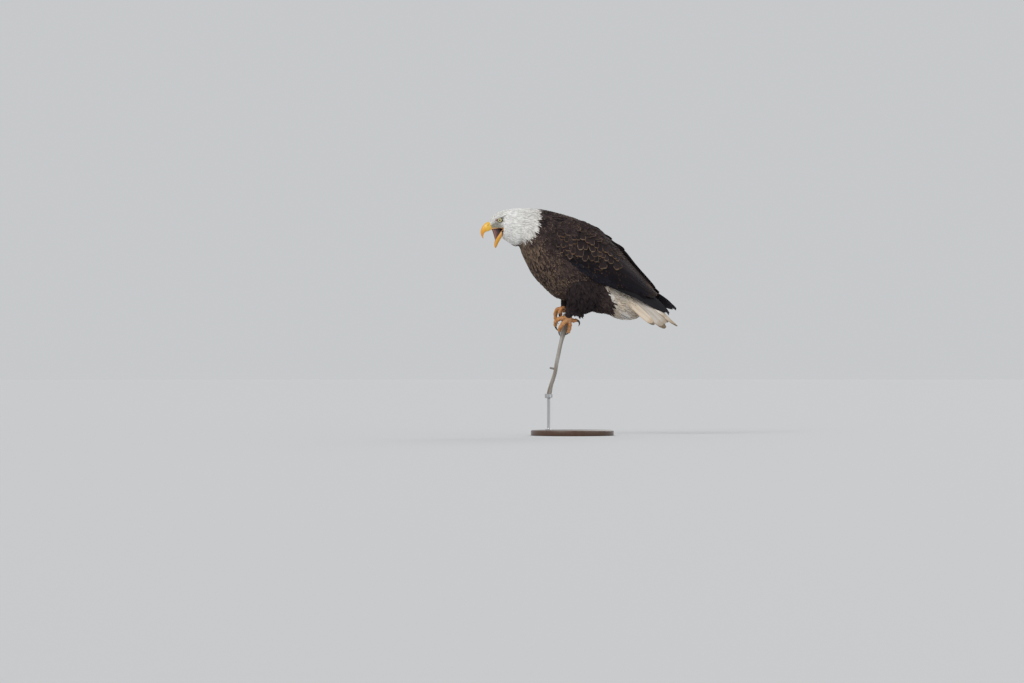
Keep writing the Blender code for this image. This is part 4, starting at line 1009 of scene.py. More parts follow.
VANE_MARKS = vane_marks()


def new_material(name, roughness, **settings):
    """A material with its shader, whose constant sockets are set here."""
    material = bpy.data.materials.new(name)
    material.use_nodes = True
    shader = material.node_tree.nodes["Principled BSDF"]
    set_inputs(shader, Roughness=roughness, **settings)
    return material, material.node_tree, shader


def bump(tree, shader, height, distance, strength):
    """Raises the shader's surface by the value height times the distance."""
    node = tree.nodes.new("ShaderNodeBump")
    set_inputs(node, Strength=strength, Distance=distance)
    link(tree, height, node.inputs["Height"])
    link(tree, node.outputs["Normal"], shader.inputs["Normal"])


def vane_streaks(tree, tone):
    """Long streaks of noise in a vane's own map, different on each vane."""
    x, y = vane_map(tree)
    joined = tree.nodes.new("ShaderNodeCombineXYZ")
    for value, factor, socket in ((x, 5.0, "X"), (y, 1.3, "Y"), (tone.outputs["Alpha"], 30.0, "Z")):
        link(tree, times(tree, value, factor), joined.inputs[socket])
    return span_of(tree, noise_of(tree, 1.6, vector=joined.outputs["Vector"]), 0.50, 0.72)


def plume_material(name, roughness, barb_shade, shaft_tone, specular=0.12, depth=0.00012, root_shade=0.45,
                   wash=0.0, barb_rows=34.0):
    """Feathers: the vane's tone, shaded at the root, with fine barbs, a shaft and its rim's colour. A
    wash lays more of the rim's colour in streaks along the vane."""
    material, tree, shader = new_material(name, roughness, Specular_IOR_Level=specular)
    marks = tree.nodes.new("ShaderNodeGroup")
    marks.node_tree = VANE_MARKS
    set_inputs(marks, Barb_Rows=barb_rows)
    tone, rim = attribute(tree, "tone"), attribute(tree, "rim")
    base = blended(tree, times(tree, marks.outputs["Rim"], rim.outputs["Alpha"]),
                   tone.outputs["Color"], rim.outputs["Color"])
    if wash:
        base = blended(tree, times(tree, vane_streaks(tree, tone), wash), base, rim.outputs["Color"])
    rise = span_of(tree, marks.outputs["Along"], 0.10, 0.85)
    root = scaled(tree, rise, root_shade, 1.05 - root_shade)
    chance = scaled(tree, tone.outputs["Alpha"], 0.50, 0.75)
    barbs = scaled(tree, marks.outputs["Barbs"], barb_shade, 1.0 - barb_shade / 2)
    light = times(tree, times(tree, root, chance), barbs)
    base = shaded(tree, base, light)
    base = blended(tree, times(tree, marks.outputs["Shaft"], 0.5), base, shaft_tone)
    link(tree, base, shader.inputs["Base Color"])
    bump(tree, shader, marks.outputs["Barbs"], depth, 0.6)
    return material


LONG_BARBS = 190.0  # the barb rows of a long feather
white_plumes = plume_material("white_plumes", 0.85, 0.08, (0.80, 0.78, 0.74), root_shade=0.16)
brown_plumes = plume_material("brown_plumes", 0.70, 0.30, (0.012, 0.008, 0.009))
long_plumes = plume_material("long_plumes", 0.65, 0.16, (0.010, 0.008, 0.009), specular=0.15, depth=0.00008,
                             barb_rows=LONG_BARBS)
flight_plumes = plume_material("flight_plumes", 0.52, 0.14, (0.006, 0.005, 0.006), specular=0.22,
                               depth=0.00008, barb_rows=LONG_BARBS)
tail_plumes = plume_material("tail_plumes", 0.75, 0.05, (0.46, 0.38, 0.28), depth=0.00006, root_shade=0.15,
                             wash=0.75, barb_rows=LONG_BARBS)


def toned_material(name, roughness, mottle=0.12, scale=240.0, depth=0.0003, rise=0.5, stretch=None,
                   detail=(3.0, 0.55), **settings):
    """A surface with its own painted tone, mottled and roughened by one noise. Stretched, the noise is
    growth lines in horn, grain in wood or brushed lines in steel."""
    material, tree, shader = new_material(name, roughness, **settings)
    tone = attribute(tree, "tone").outputs["Color"]
    grain = noise_of(tree, scale, *detail, stretch=stretch)
    light = scaled(tree, grain, 2 * mottle, 1.0 - mottle)
    link(tree, shaded(tree, tone, light), shader.inputs["Base Color"])
    bump(tree, shader, grain, depth, rise)
    return material


def scaly_material():
    """The feet's skin: cells of fine round scales between the plates, darker in their joints."""
    material, tree, shader = new_material("scaly_skin", 0.48, Coat_Weight=0.12, Coat_Roughness=0.35)
    painted = attribute(tree, "tone")
    tone = painted.outputs["Color"]
    cells = tree.nodes.new("ShaderNodeTexVoronoi")
    cells.feature = "DISTANCE_TO_EDGE"
    set_inputs(cells, Scale=760.0)
    link(tree, tree.nodes.new("ShaderNodeTexCoord").outputs["Object"], cells.inputs["Vector"])
    joint = span_of(tree, cells.outputs["Distance"], 0.0, 0.16)
    joint = value_of(tree, "MAXIMUM", joint, times(tree, painted.outputs["Alpha"], 0.85))
    patches = span_of(tree, noise_of(tree, 70.0), 0.35, 0.70)
    tone = blended(tree, times(tree, patches, 0.30), tone, tuple(SKIN_PINK))
    light = scaled(tree, joint, 0.32, 0.68)
    link(tree, shaded(tree, tone, light), shader.inputs["Base Color"])
    bump(tree, shader, joint, 0.0004, 0.6)
    return material


# How a material's noise is stretched along X, Y and Z, and its detail and roughness.
HORN_LINES, BRUSHED = (1.0, 1.0, 0.25), (1.0, 1.0, 0.05)
LONG_GRAIN, CROSS_GRAIN = (1.0, 1.0, 0.12), (0.25, 4.0, 1.0)
FINE_DETAIL = (6.0, 0.62)
feather_bed = toned_material("feather_bed", 0.9)
bare_skin = toned_material("bare_skin", 0.55, 0.15, 500.0)
scaly_skin = scaly_material()
bill_horn = toned_material("bill_horn", 0.38, 0.07, 260.0, 0.0002, 0.35, HORN_LINES, Coat_Weight=0.25,
                           Coat_Roughness=0.22)
talon_horn = toned_material("talon_horn", 0.30, 0.15, 260.0, 0.0002, 0.35, HORN_LINES, Coat_Weight=0.35,
                            Coat_Roughness=0.22)
wet_lining = toned_material("wet_lining", 0.30, 0.10, 300.0, Coat_Weight=0.4, Coat_Roughness=0.15)
eye_gloss = toned_material("eye_gloss", 0.08, 0.03, 900.0, 0.00002, Coat_Weight=1.0, Coat_Roughness=0.02)
old_wood = toned_material("old_wood", 0.88, 0.35, 420.0, 0.0005, 0.6, LONG_GRAIN, FINE_DETAIL)
dark_wood = toned_material("dark_wood", 0.38, 0.45, 34.0, 0.0001, 0.6, CROSS_GRAIN, FINE_DETAIL,
                           Coat_Weight=0.3, Coat_Roughness=0.2)
brushed_steel = toned_material("brushed_steel", 0.32, 0.12, 900.0, 0.00005, 0.6, BRUSHED, FINE_DETAIL,
                               Metallic=1.0)


# ---- feet
def toe_path(side, digit):
    """The toe's centre line through its joints, and its radii, which swell at each joint."""
    joints = np.array([about_branch(*p) for p in TOES[side, digit][1]])
    share = np.linspace(0, 1, 8 * len(joints))
    path = along(joints, share * (len(joints) - 1))
    knuckles = 1 + 0.10 * np.cos(math.tau * share * (len(joints) - 1))
    return path, 1.08 * TOE_RADIUS[digit] * (1 - 0.22 * share) * knuckles


def shank_path(side, count=24):
    """The shank's centre line from the thigh down to the foot's pad, and its radii."""
    start, end = leg_shift(SHANK_TOP, side), about_branch(*FOOT_PADS[side][0])
    share = np.linspace(0, 1, count)[:, None]
    upper, lower = TARSUS_RADIUS
    return start + (end - start) * share, upper + (lower - upper) * share[:, 0]


def ellipsoid(centre, radii, rows=20, columns=32):
    """Rings over an ellipsoid, from its top down."""
    latitude = np.linspace(0.02, math.pi - 0.02, rows)[:, None]
    longitude = turns(columns)[None, :]
    ball = np.stack([np.sin(latitude) * np.cos(longitude), np.sin(latitude) * np.sin(longitude),
                     np.cos(latitude) + 0 * longitude], axis=-1)
    return np.asarray(centre) + ball * np.asarray(radii)


def foot_shape(side):
    """One foot: its pad, its toes and the end of its shank grown together by a fine remesh, then the
    plates raised along the top of each toe: a saw tooth along its length, strongest on the side away from
    the branch. Returns points, faces, each point's share of a plate's face, and of the plated side."""
    shapes = [tube_mesh(ellipsoid(about_branch(*FOOT_PADS[side][0]), FOOT_PADS[side][1]))]
    path, radii = shank_path(side)
    shapes.append(tube_mesh(carried(path[12:], radii[12:] * 0.86, 24)))
    toes = {digit: toe_path(side, digit) for digit in TOE_RADIUS}
    pad = about_branch(*FOOT_PADS[side][0])
    for path, radii in toes.values():
        path, radii = np.vstack([path[0] + (pad - path[0]) * 0.45, path]), np.append(radii[0] * 0.95, radii)
        shapes.append(tube_mesh(carried(*capped(path, radii), 20)))
    points, faces = solid(shapes)
    points, faces = refined(points, faces, ("REMESH", {"mode": "VOXEL", "voxel_size": 0.0011}),
                            ("SMOOTH", {"factor": 0.6, "iterations": 5}))
    points = points.astype(float)
    plates, topped = np.zeros(len(points)), np.zeros(len(points))
    centres = np.interp(-points[:, 2], -BRANCH[:, 1], BRANCH[:, 0])
    away = np.stack([points[:, 0], points[:, 1] - centres, 0.004 + 0 * centres], axis=-1)
    push = np.zeros_like(points)
    for path, radii in toes.values():
        apart = np.linalg.norm(points[:, None, :] - path[None], axis=2)
        nearest = apart.argmin(axis=1)
        distance = np.concatenate([[0], np.cumsum(np.linalg.norm(np.diff(path, axis=0), axis=1))])
        way = unit(np.gradient(path, axis=0))[nearest]
        run = distance[nearest] + ((points - path[nearest]) * way).sum(-1)
        out = unit(points - path[nearest])
        upper = smoothstep((out * unit(away + np.array((0, 0, 0.012)))).sum(-1), 0.05, 0.50)
        on_toe = (apart.min(axis=1) < radii[nearest] * 1.25) & (run > 0.004) & (run < distance[-1])
        tooth = 1 - (run / 0.0042) % 1.0
        share = upper * on_toe
        push += out * (share * (0.00095 * smoothstep(tooth, 0.0, 0.22) * (0.45 + 0.55 * tooth)))[:, None]
        plates = np.where(on_toe, share * smoothstep(tooth, 0.04, 0.28), plates)
        topped = np.where(on_toe, share, topped)
    return points + push, faces, plates, topped


def foot_tone(points, plates, topped, side):
    """Orange-yellow toes with pink and dark brown patches, dark between the plates, and pale pink
    round the pad, a painted highlight."""
    tone = mix(SKIN_ORANGE, SKIN_YELLOW, patchy(points, 0.03, 30, 0.45, 0.5))
    tone = mix(tone, SKIN_PINK, patchy(points, 0.022, 31, 0.15, 0.35, 0, 0.6))
    tone = mix(tone, SKIN_ORANGE * np.array((0.32, 0.30, 0.35)), 0.80 * topped * (1 - plates))
    # painted highlight: pale pink round each foot's pad
    pad = np.linalg.norm(points - about_branch(*FOOT_PADS[side][0]), axis=1)
    tone = mix(tone, SKIN_PINK * np.array((1.0, 0.9, 0.85)), 0.55 * (1 - smoothstep(pad, 0.016, 0.026)))
    tone = mix(tone, SKIN_ORANGE * 0.35, patchy(points, 0.013, 32, -0.12, 0.6, 0, 0.55))
    return tone * np.array((0.84, 0.80, 0.72))


def make_talons():
    """Each talon bends on from its toe along an arc, down and towards the branch. Its cut is a rounded
    wedge, thicker above, and it tapers to a point along a power of its length, from a slight swelling."""
    shapes, share = [], np.linspace(0, 1, 25)
    taper = (1 - share * 0.985) ** 0.72 * (1 + 0.10 * np.exp(-(((share - 0.06) / 0.05) ** 2)))
    for (side, digit), (bend, _) in TOES.items():
        path, _ = toe_path(side, digit)
        bend = math.radians(bend)
        tangent = unit(path[-1] - path[-2])
        inward = unit(about_branch(0, 0, path[-1][2]) - path[-1]) * 0.6 + np.array((0, 0, -1.0))
        inward = unit(inward - tangent * (inward @ tangent))
        turn = bend * share[:, None]
        reach = TALON_LENGTH[digit] / bend
        arc = path[-1] - tangent * 0.0015 + reach * (np.sin(turn) * tangent + (1 - np.cos(turn)) * inward)
        radii = TALON_RADIUS[digit] * 1.06 * taper
        shapes.append(tube_mesh(carried(arc, radii, 20, start=inward, flat=0.86)))
    points, faces = solid(shapes)
    tone = mix(TALON_BLACK, TALON_BROWN, np.clip(waves(points, 0.02, 41) * 0.3, 0, 1))
    names = [f"talon_{side}_{digit}" for side, digit in TOES]
    add_painted("talons", (points, faces), tone, "talon_horn", talon_horn, *names)


# ---- skin
def skin_tone(place, points):
    """The bed under the coat wears its colours, darker: painted shade in the gaps between the vanes. The
    lores are bare grey-green, the lip of the gape is yellow, and the roof of the mouth pink."""
    station, angle = place[..., 0], place[..., 1]
    tone = plumage_tone(place, points, 5)
    # painted shade: the bed is darker than the coat on it, a little less so under white
    tone = tone * (0.72 + 0.20 * smoothstep(tone[..., :1], 0.2, 0.5))
    ahead = 1 - smoothstep(station, 1.6, 3.2)
    side = smoothstep(np.abs(np.sin(angle)), 0.45, 0.85) * smoothstep(-np.cos(angle), -0.55, -0.05)
    tone = mix(tone, LORES, 0.8 * ahead * side)
    tone = mix(tone, CORNER_SKIN, before_eye(points))
    before_gape = 1 - smoothstep(station, 3.25, 3.45)
    tone = mix(tone, SKIN_YELLOW, before_gape * smoothstep(-np.cos(angle), 0.52, 0.62))
    return mix(tone, MOUTH_PINK, before_gape * smoothstep(-np.cos(angle), 0.80, 0.88))


def wing_core(side):
    """The arm under the coverts: the wing's face let in by the coat's depth, over its inner face."""
    stations, columns = 61, 25
    face = wing_points(side, rows=stations, columns=columns)
    sign = SIDES[side]
    swell = np.sin(math.pi * np.linspace(0, 1, columns)) ** 0.85
    depth = np.linspace(*WING_THICKNESS, stations)[:, None] * (0.25 + 0.75 * swell[None, :])
    outer, inner = face.copy(), face.copy()
    outer[..., 0] -= sign * np.minimum(0.0075, 0.6 * depth)
    inner[..., 0] -= sign * depth
    middle = (outer + inner) / 2
    shrink = lambda grid: grid + (middle.mean(axis=1, keepdims=True) - grid) * np.array((0.0, 0.05, 0.05))
    rings = np.concatenate([shrink(outer), shrink(inner)[:, ::-1]], axis=1)
    return tube_mesh(rings[1:-2])


def make_skin():
    """One skin for all of the flesh, inside the plumage by the coat's depth."""
    place = np.stack(np.meshgrid(TRUNK_PLACES, ROUND, indexing="ij"), axis=-1)
    depth = np.interp(TRUNK_PLACES, COAT[:, 0], COAT[:, 5])[:, None, None]
    inset = body.points - body.normal * depth
    trunk = tube_mesh(inset)
    tones = [with_ends(skin_tone(place, body.points), CERE_YELLOW * 0.4, CREAM)]
    shapes, plated = [trunk], []
    for side in SIDES:
        path, radii = shank_path(side)
        limbs = [wing_core(side), tube_mesh(thighs[side].points - thighs[side].normal * 0.008),
                 tube_mesh(carried(path, radii - 0.0022, 24))]
        shapes += limbs
        # painted shade: the flesh under the brown coat of the wings and legs is dark brown
        tones += [np.broadcast_to(DARK_BROWN, points.shape) for points, _ in limbs]
    plumed = sum(len(faces) for _, faces in shapes)
    for side in SIDES:
        points, faces, plates, topped = foot_shape(side)
        shapes.append((points, faces))
        tones.append(foot_tone(points, plates, topped, side))
        plated.append(topped)
    points, faces = solid(shapes)
    mesh = new_mesh("skin", points, faces)
    tones = np.vstack(tones)
    plated = np.concatenate([np.zeros(len(tones) - sum(map(len, plated))), *plated])
    paint(mesh, "tone", tones, plated)
    slots = np.zeros(len(faces), np.int32)
    slots[plumed:] = 1
    names = ["head", "neck", "trunk", "tail_coverts"]
    names += [f"{part}_{side}" for part in ("wing", "thigh", "tarsus", "foot") for side in SIDES]
    names += [f"toe_{side}_{digit}" for side, digit in TOES]
    add_piece(mesh, "brown_plumage", *names, materials=[feather_bed, scaly_skin])
    mesh.polygons.foreach_set("material_index", slots)


# ---- coat
def trunk_roots(first, last, seed, denser=1.0):
    """Roots on the body between two stations, as far apart as the coat's measures say, or denser."""
    def apart(column):
        """How far apart they lie at a grid row, by that column of the coat's measures."""
        return lambda row: float(np.interp(row / TRUNK_STEPS, COAT[:, 0], COAT[:, column])) / denser

    return staggered(body, first * TRUNK_STEPS, last * TRUNK_STEPS, apart(3), apart(4), seed)


def body_coat(surface, roots, seed, longer=1.0, **settings):
    """Vanes on the body or a cloak over it, with the measures of their stations."""
    place = trunk_place(roots)
    length, half_width, _, _, depth = coat_measure(place[..., 0])
    points = surface.at(roots)
    turn = sway(points, 0.20, 0.045, seed, 0.09, seed)
    vanes = lay(surface, roots, length * longer, half_width, depth=depth, turn=turn, seed=seed, **settings)
    return vanes, place, points


def before_eye(points):
    """The bare front corner of each eye: a soft oval ahead of the lids, 1 inside and 0 outside."""
    found = 0
    for sign in SIDES.values():
        y, z = np.moveaxis(points - turn_head(EYE * (sign, 1, 1)), -1, 0)[1:]
        found = found + np.exp(-(((y + 0.0125) / 0.0062) ** 4) - ((z - 0.25 * (y + 0.0125)) / 0.0048) ** 4)
    return np.clip(found, 0, 1)


def face_feathers(first, last, seed, denser, cut):
    """White feathers of the head over a span of stations, tiny round the bill and the eye."""
    roots = trunk_roots(first, last, seed, denser)
    place, points = trunk_place(roots), body.at(roots)
    eyes = np.array([turn_head(EYE * (sign, 1, 1)) for sign in SIDES.values()])
    from_eye = np.linalg.norm(points[:, None, :] - eyes[None], axis=2).min(axis=1)
    bare = before_eye(points) > 0.5
    mouth = (place[..., 0] < 3.45) & (-np.cos(place[..., 1]) > 0.56)
    keep = (from_eye > EYE_ROOM) & ~mouth & ~bare
    roots, from_eye, place, points = roots[keep], from_eye[keep], place[keep], points[keep]
    lores = (1 - smoothstep(place[..., 0], 1.2, 2.8)) * smoothstep(-np.cos(place[..., 1]), -0.60, -0.1)
    short = (0.45 + 0.55 * smoothstep(from_eye, EYE_ROOM, 0.024)) * (1 - 0.30 * lores)
    length, half_width, _, _, depth = coat_measure(place[..., 0])
    turn = sway(points, 0.22, 0.032, 12, 0.07, seed)
    vanes = lay(body, roots, 1.15 * length * short, half_width * np.sqrt(short), cut, depth=depth,
                lift=0.0002, turn=turn, fullness=1.3, camber=0.14, thickness=0.00014, ragged=0.05,
                slant=0.03, seed=seed + 1)
    tone = mix(plumage_tone(place, points, 14), LORES, 0.85 * lores)
    # painted shade round each eye: the feathers nearest the socket darken to a dark grey
    tone = mix(tone, LORES * 0.55, 0.75 * (1 - smoothstep(from_eye, EYE_ROOM, 0.0165)))
    return coloured(vanes, tone, WHITE, 0.25)


def make_head_coat():
    """White lanceolate feathers: tiny at the face, long and loose on the neck."""
    coat("feathers_face", [face_feathers(0.08, 3.0, 11, 1.0, TINY)], "white_plumage", white_plumes)
    coat("feathers_head", [face_feathers(2.9, 5.6, 17, 1.0, FINE)], "white_plumage", white_plumes)
    roots = trunk_roots(5.4, 8.6, 15)
    place = trunk_place(roots)
    roots = roots[place[..., 0] < collar_edge(place[..., 1])]
    vanes, place, points = body_coat(body, roots, 16, longer=1.20, fullness=1.25, camber=0.14, lift=0.0005,
                                     thickness=0.0002, stem=0.3, slant=0.04)
    coloured(vanes, plumage_tone(place, points, 14), WHITE, 0.35)
    coat("feathers_neck", [vanes], "white_plumage", white_plumes)


WING_LOWER_EDGE = np.array([(row[4], row[5]) for row in WING])


def below_wing(points):
    """How far each point lies under the line of the wing's lower edge in the side view, in metres."""
    return np.interp(points[..., 1], WING_LOWER_EDGE[:, 0], WING_LOWER_EDGE[:, 1]) - points[..., 2]


# The line (y, z) above which the back's feathers lie over the wing.
SCAPULAR_EDGE = np.array([
    (-0.08, 0.418), (0.0, 0.430), (0.08, 0.418), (0.16, 0.375), (0.20, 0.335), (0.26, 0.27),
])


def make_trunk_coat():
    """Brown feathers of the breast, the back and the flanks. Those ahead of the wings and above them lie
    on the cloak over the wings, and those below lie on the cloak over the thighs."""
    over_wings = cloak(("wing_left", "wing_right"), 0.095, 7)
    over_thighs = cloak(("thigh_left", "thigh_right"), 0.06, 9)
    roots = trunk_roots(5.1, 17.0, 21, 1.10)
    place, points = trunk_place(roots), body.at(roots)
    station, angle = place[..., 0], place[..., 1]
    brown = (station > collar_edge(angle) - 0.3) & (station < vent_edge(angle))
    hidden = over_wings.read(over_wings.raised, roots)[..., 0] > 0.5
    cloaked = over_wings.at(roots)
    above = cloaked[..., 2] > np.interp(cloaked[..., 1], SCAPULAR_EDGE[:, 0], SCAPULAR_EDGE[:, 1])
    upper = (below_wing(points) < 0.0) | (points[..., 1] < -0.075)
    on_wings = brown & upper & (~hidden | above)
    below = brown & ~upper
    under = brown & upper & hidden & ~above & (below_wing(points) > -0.030)
    top = smoothstep(np.cos(angle), -0.2, 0.5)
    front = smoothstep(-np.cos(angle), -0.1, 0.5)
    for name, keep, surface, seed, drop in (("feathers_back", on_wings, over_wings, 22, 0.75),
                                            ("feathers_flanks", below | under, over_thighs, 24, 0.10)):
        chosen, high, fore = roots[keep], top[keep], front[keep]
        pull = np.zeros((len(chosen), 3))
        outwards = smoothstep(np.abs(np.sin(angle[keep])), 0.25, 0.8)
        pull[:, 2] = -drop * high * smoothstep(station[keep], 8.5, 10.5) * outwards
        over = hidden[keep] * (name == "feathers_back")
        draped = over_thighs.read(over_thighs.raised, roots)[keep, 0] * (name == "feathers_flanks")
        hem = smoothstep(-np.cos(angle[keep]), 0.1, 0.8) * smoothstep(station[keep], 12.5, 14.8)
        pull[:, 2] -= 0.45 * hem
        longer = 1.0 + 0.1 * high + 0.15 * over + 0.25 * hem
        lift = 0.0010 + 0.0008 * fore + 0.0040 * over + 0.003 * draped + 0.005 * hem
        vanes, where, at = body_coat(surface, chosen, seed, longer, lift=lift, pull=pull, camber=0.16,
                                     fullness=1.9 - 0.4 * hem.mean(), ragged=0.22)
        tone = plumage_tone(where, at, 26)
        breast = fore * (1 - smoothstep(where[..., 0], 11.0, 14.5))
        pale = np.random.default_rng(29).uniform(0, 1, len(chosen)) < 0.38
        tone = mix(tone, np.where(pale[:, None], BUFF, DARK_BROWN), np.where(pale, 0.50, 0.28) * breast)
        strength = np.clip(0.35 + 0.55 * waves(at, 0.018, 27) + 0.50 * fore, 0.0, 1.0)
        strength = strength * (1 - 0.7 * smoothstep(where[..., 0], 13.0, 15.0))
        rim = mix(BUFF * 1.15, BROWN * 2.0, patchy(at, 0.04, 28, 0.35, 0.4))
        coat(name, [coloured(vanes, tone, rim, strength)], "brown_plumage", brown_plumes)


def make_vent_coat():
    """White coverts above and below the tail, the lower ones long, soft and washed with brown."""
    roots = trunk_roots(15.3, 19.9, 31, 1.15)
    place = trunk_place(roots)
    roots = roots[place[..., 0] > vent_edge(place[..., 1])]
    low = smoothstep(-np.cos(trunk_place(roots)[..., 1]), -0.2, 0.6)
    pull = np.stack([0 * low, 0 * low, -0.60 * low], axis=-1)
    vanes, place, points = body_coat(body, roots, 32, longer=1.0 + 0.40 * low, fullness=1.3, camber=0.2,
                                     lift=0.0015 + 0.0065 * low, ragged=0.25, stem=0.35, pull=pull)
    vanes["bake"] = vanes["bake"] * (0.5, 1.0)
    coloured(vanes, plumage_tone(place, points, 33), WHITE, 0.3)
    roots = staggered(tail_face, 0.5, 9.0, 0.0150, 0.0085, 34)
    points = tail_face.at(roots)
    outer = np.abs(roots[:, 1] / tail_face.size[1] * 2 - 1)
    turn = np.random.default_rng(35).normal(0, 0.08, len(roots))
    over_tail = lay(tail_face, roots, 0.058 + 0.014 * outer, 0.0068, depth=0.0, lift=0.002 + 0.003 * outer,
                    pull=(0, 0, -0.22), turn=turn, fullness=1.4, ragged=0.2, seed=36, tile=(0.5, 0, 0.5, 1))
    coloured(over_tail, vent_tone(points, 37), WHITE, 0.3)
    coat("feathers_vent", [vanes, over_tail], "white_plumage", white_plumes)


def make_thigh_coat(side):
    """Loose brown trousers that hang down the thigh and back from it, and short dense feathers on the
    shank."""
    surface = trousers[side]
    roots = staggered(surface, 7.0, 58.5, 0.0105, 0.0085, 41 + len(side))
    points = surface.at(roots)
    share = roots[..., 0] / 60
    back = smoothstep(points[..., 1], 0.02, 0.10)
    pull = np.stack([0 * share, 0.15 + 0.35 * back, -0.2 - 0.3 * share], axis=-1)
    turn = sway(points, 0.30, 0.035, 44, 0.14, 43)
    steps = np.linalg.norm(np.diff(surface.points, axis=0), axis=2)
    steps[60:] = 0
    to_hem = np.vstack([np.cumsum(steps[::-1], axis=0)[::-1], 0 * steps[:1]])
    length = np.clip(surface.read(to_hem[..., None], roots)[:, 0] + 0.009, 0.017, 0.032 + 0.012 * share)
    vanes = lay(surface, roots, length, 0.0056 + 0.0014 * share, depth=0.009, lift=0.001 + 0.004 * share,
                turn=turn, pull=pull, fullness=1.5, ragged=0.3, seed=45, stem=0.35, tile=(0, 0, 0.5, 1))
    dark = 0.30 + 0.55 * smoothstep(share, 0.1, 0.6) + 0.3 * waves(points, 0.02, 46)
    tone = mix(BROWN * 0.8, DARK_BROWN, np.clip(dark, 0, 1))
    coloured(vanes, tone, BROWN * 1.7, patchy(points, 0.03, 47, 0.20, 0.3, 0, 0.6))
    path, radii = shank_path(side, 30)
    rings = carried(path, radii, 32)
    shank = Surface(rings, True, (15, 0), rings[15, 0] - path[15])
    roots = staggered(shank, 1.0, 23.0, 0.0045, 0.0038, 48)
    points = shank.at(roots)
    turn = np.random.default_rng(49).normal(0, 0.12, len(roots))
    short = lay(shank, roots, 0.014, 0.0028, FINE, depth=0.0025, lift=0.0006, turn=turn, fullness=1.5,
                seed=50, tile=(0.5, 0, 0.5, 1))
    coloured(short, mix(BROWN, DARK_BROWN, 0.5 + 0.4 * waves(points, 0.015, 51)), BROWN * 2.2, 0.4)
    coat(f"feathers_leg_{side}", [vanes, short], "brown_plumage", brown_plumes)


# ---- wings and tail
def run_length(surface, start, end, column):
    """The length of a surface's line along a column, between two rows."""
    rows = np.linspace(start, end, 60)
    line = surface.read(surface.points, np.stack([rows, np.full(60, column)], axis=-1))
    return np.linalg.norm(np.diff(line, axis=0), axis=1).sum()


def loop_end(t):
    """How far down the wing the pale-rimmed loops reach at each station: 0 at its upper edge, 1 at its
    lower."""
    return np.interp(t, (1.5, 2.0, 4.0, 5.0, 6.0, 7.0, 8.0), (0.95, 0.90, 0.70, 0.64, 0.54, 0.36, 0.20))


def wing_loops(side):
    """The middle of the wing: broad feathers in rows down it, dark with thin pale rims, like hanging
    loops."""
    surface = drapes[side]
    height = np.linalg.norm(np.diff(surface.points, axis=0), axis=2).sum(axis=0)
    per_station, width = surface.size[1] / (len(WING) - 1), surface.size[0]
    roots = staggered(surface, -0.04 * width, 0.80 * width, 0.0310, 0.0205, 61, jitter=0.16,
                      span=(0.14, 0.86))
    t, s = roots[..., 1] / per_station, roots[..., 0] / width
    length = 0.056 - 0.020 * smoothstep(t, 5.5, 8.0) - 0.014 * (1 - smoothstep(t, 1.5, 2.6))
    tall = np.interp(roots[..., 1], np.arange(len(height)), height)
    points = surface.at(roots)
    bare = points[:, 2] < np.interp(points[:, 1], SCAPULAR_EDGE[:, 0], SCAPULAR_EDGE[:, 1]) + 0.016
    over_tertials = (points[:, 1] > 0.265) & (s < 0.12)
    keep = (s + 0.86 * length / tall < loop_end(t)) & bare & ~over_tertials
    roots, t, s, length, points = roots[keep], t[keep], s[keep], length[keep], points[keep]
    turn = sway(points, 0.10, 0.07, 62, 0.05, 62)
    half_width = 0.0132 - 0.0030 * smoothstep(t, 6.0, 8.0) - 0.0030 * (1 - smoothstep(t, 1.5, 2.6))
    vanes = lay(surface, roots, length, half_width, BROAD, depth=0.004, lift=0.0032, turn=turn, fullness=2.3,
                shoulder=0.60, camber=0.16, ragged=0.05, seed=63, tile=(0, 0, 0.5, 1))
    tone = mix(BROWN * 0.70, DARK_BROWN * 0.75, 0.5 + 0.4 * waves(points, 0.05, 64))
    strength = patchy(points, 0.05, 65, 0.80, 0.25, 0.3, 1)
    strength = strength * (0.35 + 0.65 * smoothstep(s, -0.02, 0.15))
    rim = mix(BUFF, TAN, patchy(points, 0.04, 66, 0.45, 0.5))
    return coloured(vanes, tone, rim, strength)


def wing_tiles(side, first, last, seed, chosen, spacing, length, half_width, drop, **settings):
    """Coverts that follow the wing, bent downwards by drop, on the places that chosen(t, s) picks out."""
    surface = wings[side]
    per_station, width = surface.size[0] / (len(WING) - 1), surface.size[1]
    roots = staggered(surface, first * per_station, last * per_station, *spacing, seed)
    t, s = roots[..., 0] / per_station, roots[..., 1] / width
    keep = chosen(t, s)
    roots, t, s = roots[keep], t[keep], s[keep]
    points = surface.at(roots)
    turn = sway(points, 0.12, 0.05, seed, 0.07, seed)
    grow = 0.72 + 0.28 * smoothstep(t, first, first + 1.5)
    vanes = lay(surface, roots, length * grow, half_width * grow, depth=0.005, turn=turn,
                pull=(0.0, 0.0, -drop), camber=0.14, seed=seed, **settings)
    return vanes, t, s, points


def low_coverts(t, s):
    """Where the coverts of the lower edge grow: under the loops' ends, but clear of the tertials."""
    return (s > loop_end(t) - 0.30) & ((t < 4.2) | (s > 0.45))


def scapular_reach(t, s):
    """Where the scapulars grow on the wing: along its upper edge."""
    return (s > 0.015) & (s < np.interp(t, (0.9, 2.0, 5.0, 6.4), (0.16, 0.24, 0.22, 0.20)))


def over_wrist(t, s):
    """Where the small coverts grow: over the wrist, and further along the upper edge than the lower."""
    return t < 2.0 + 0.7 * (1 - s)


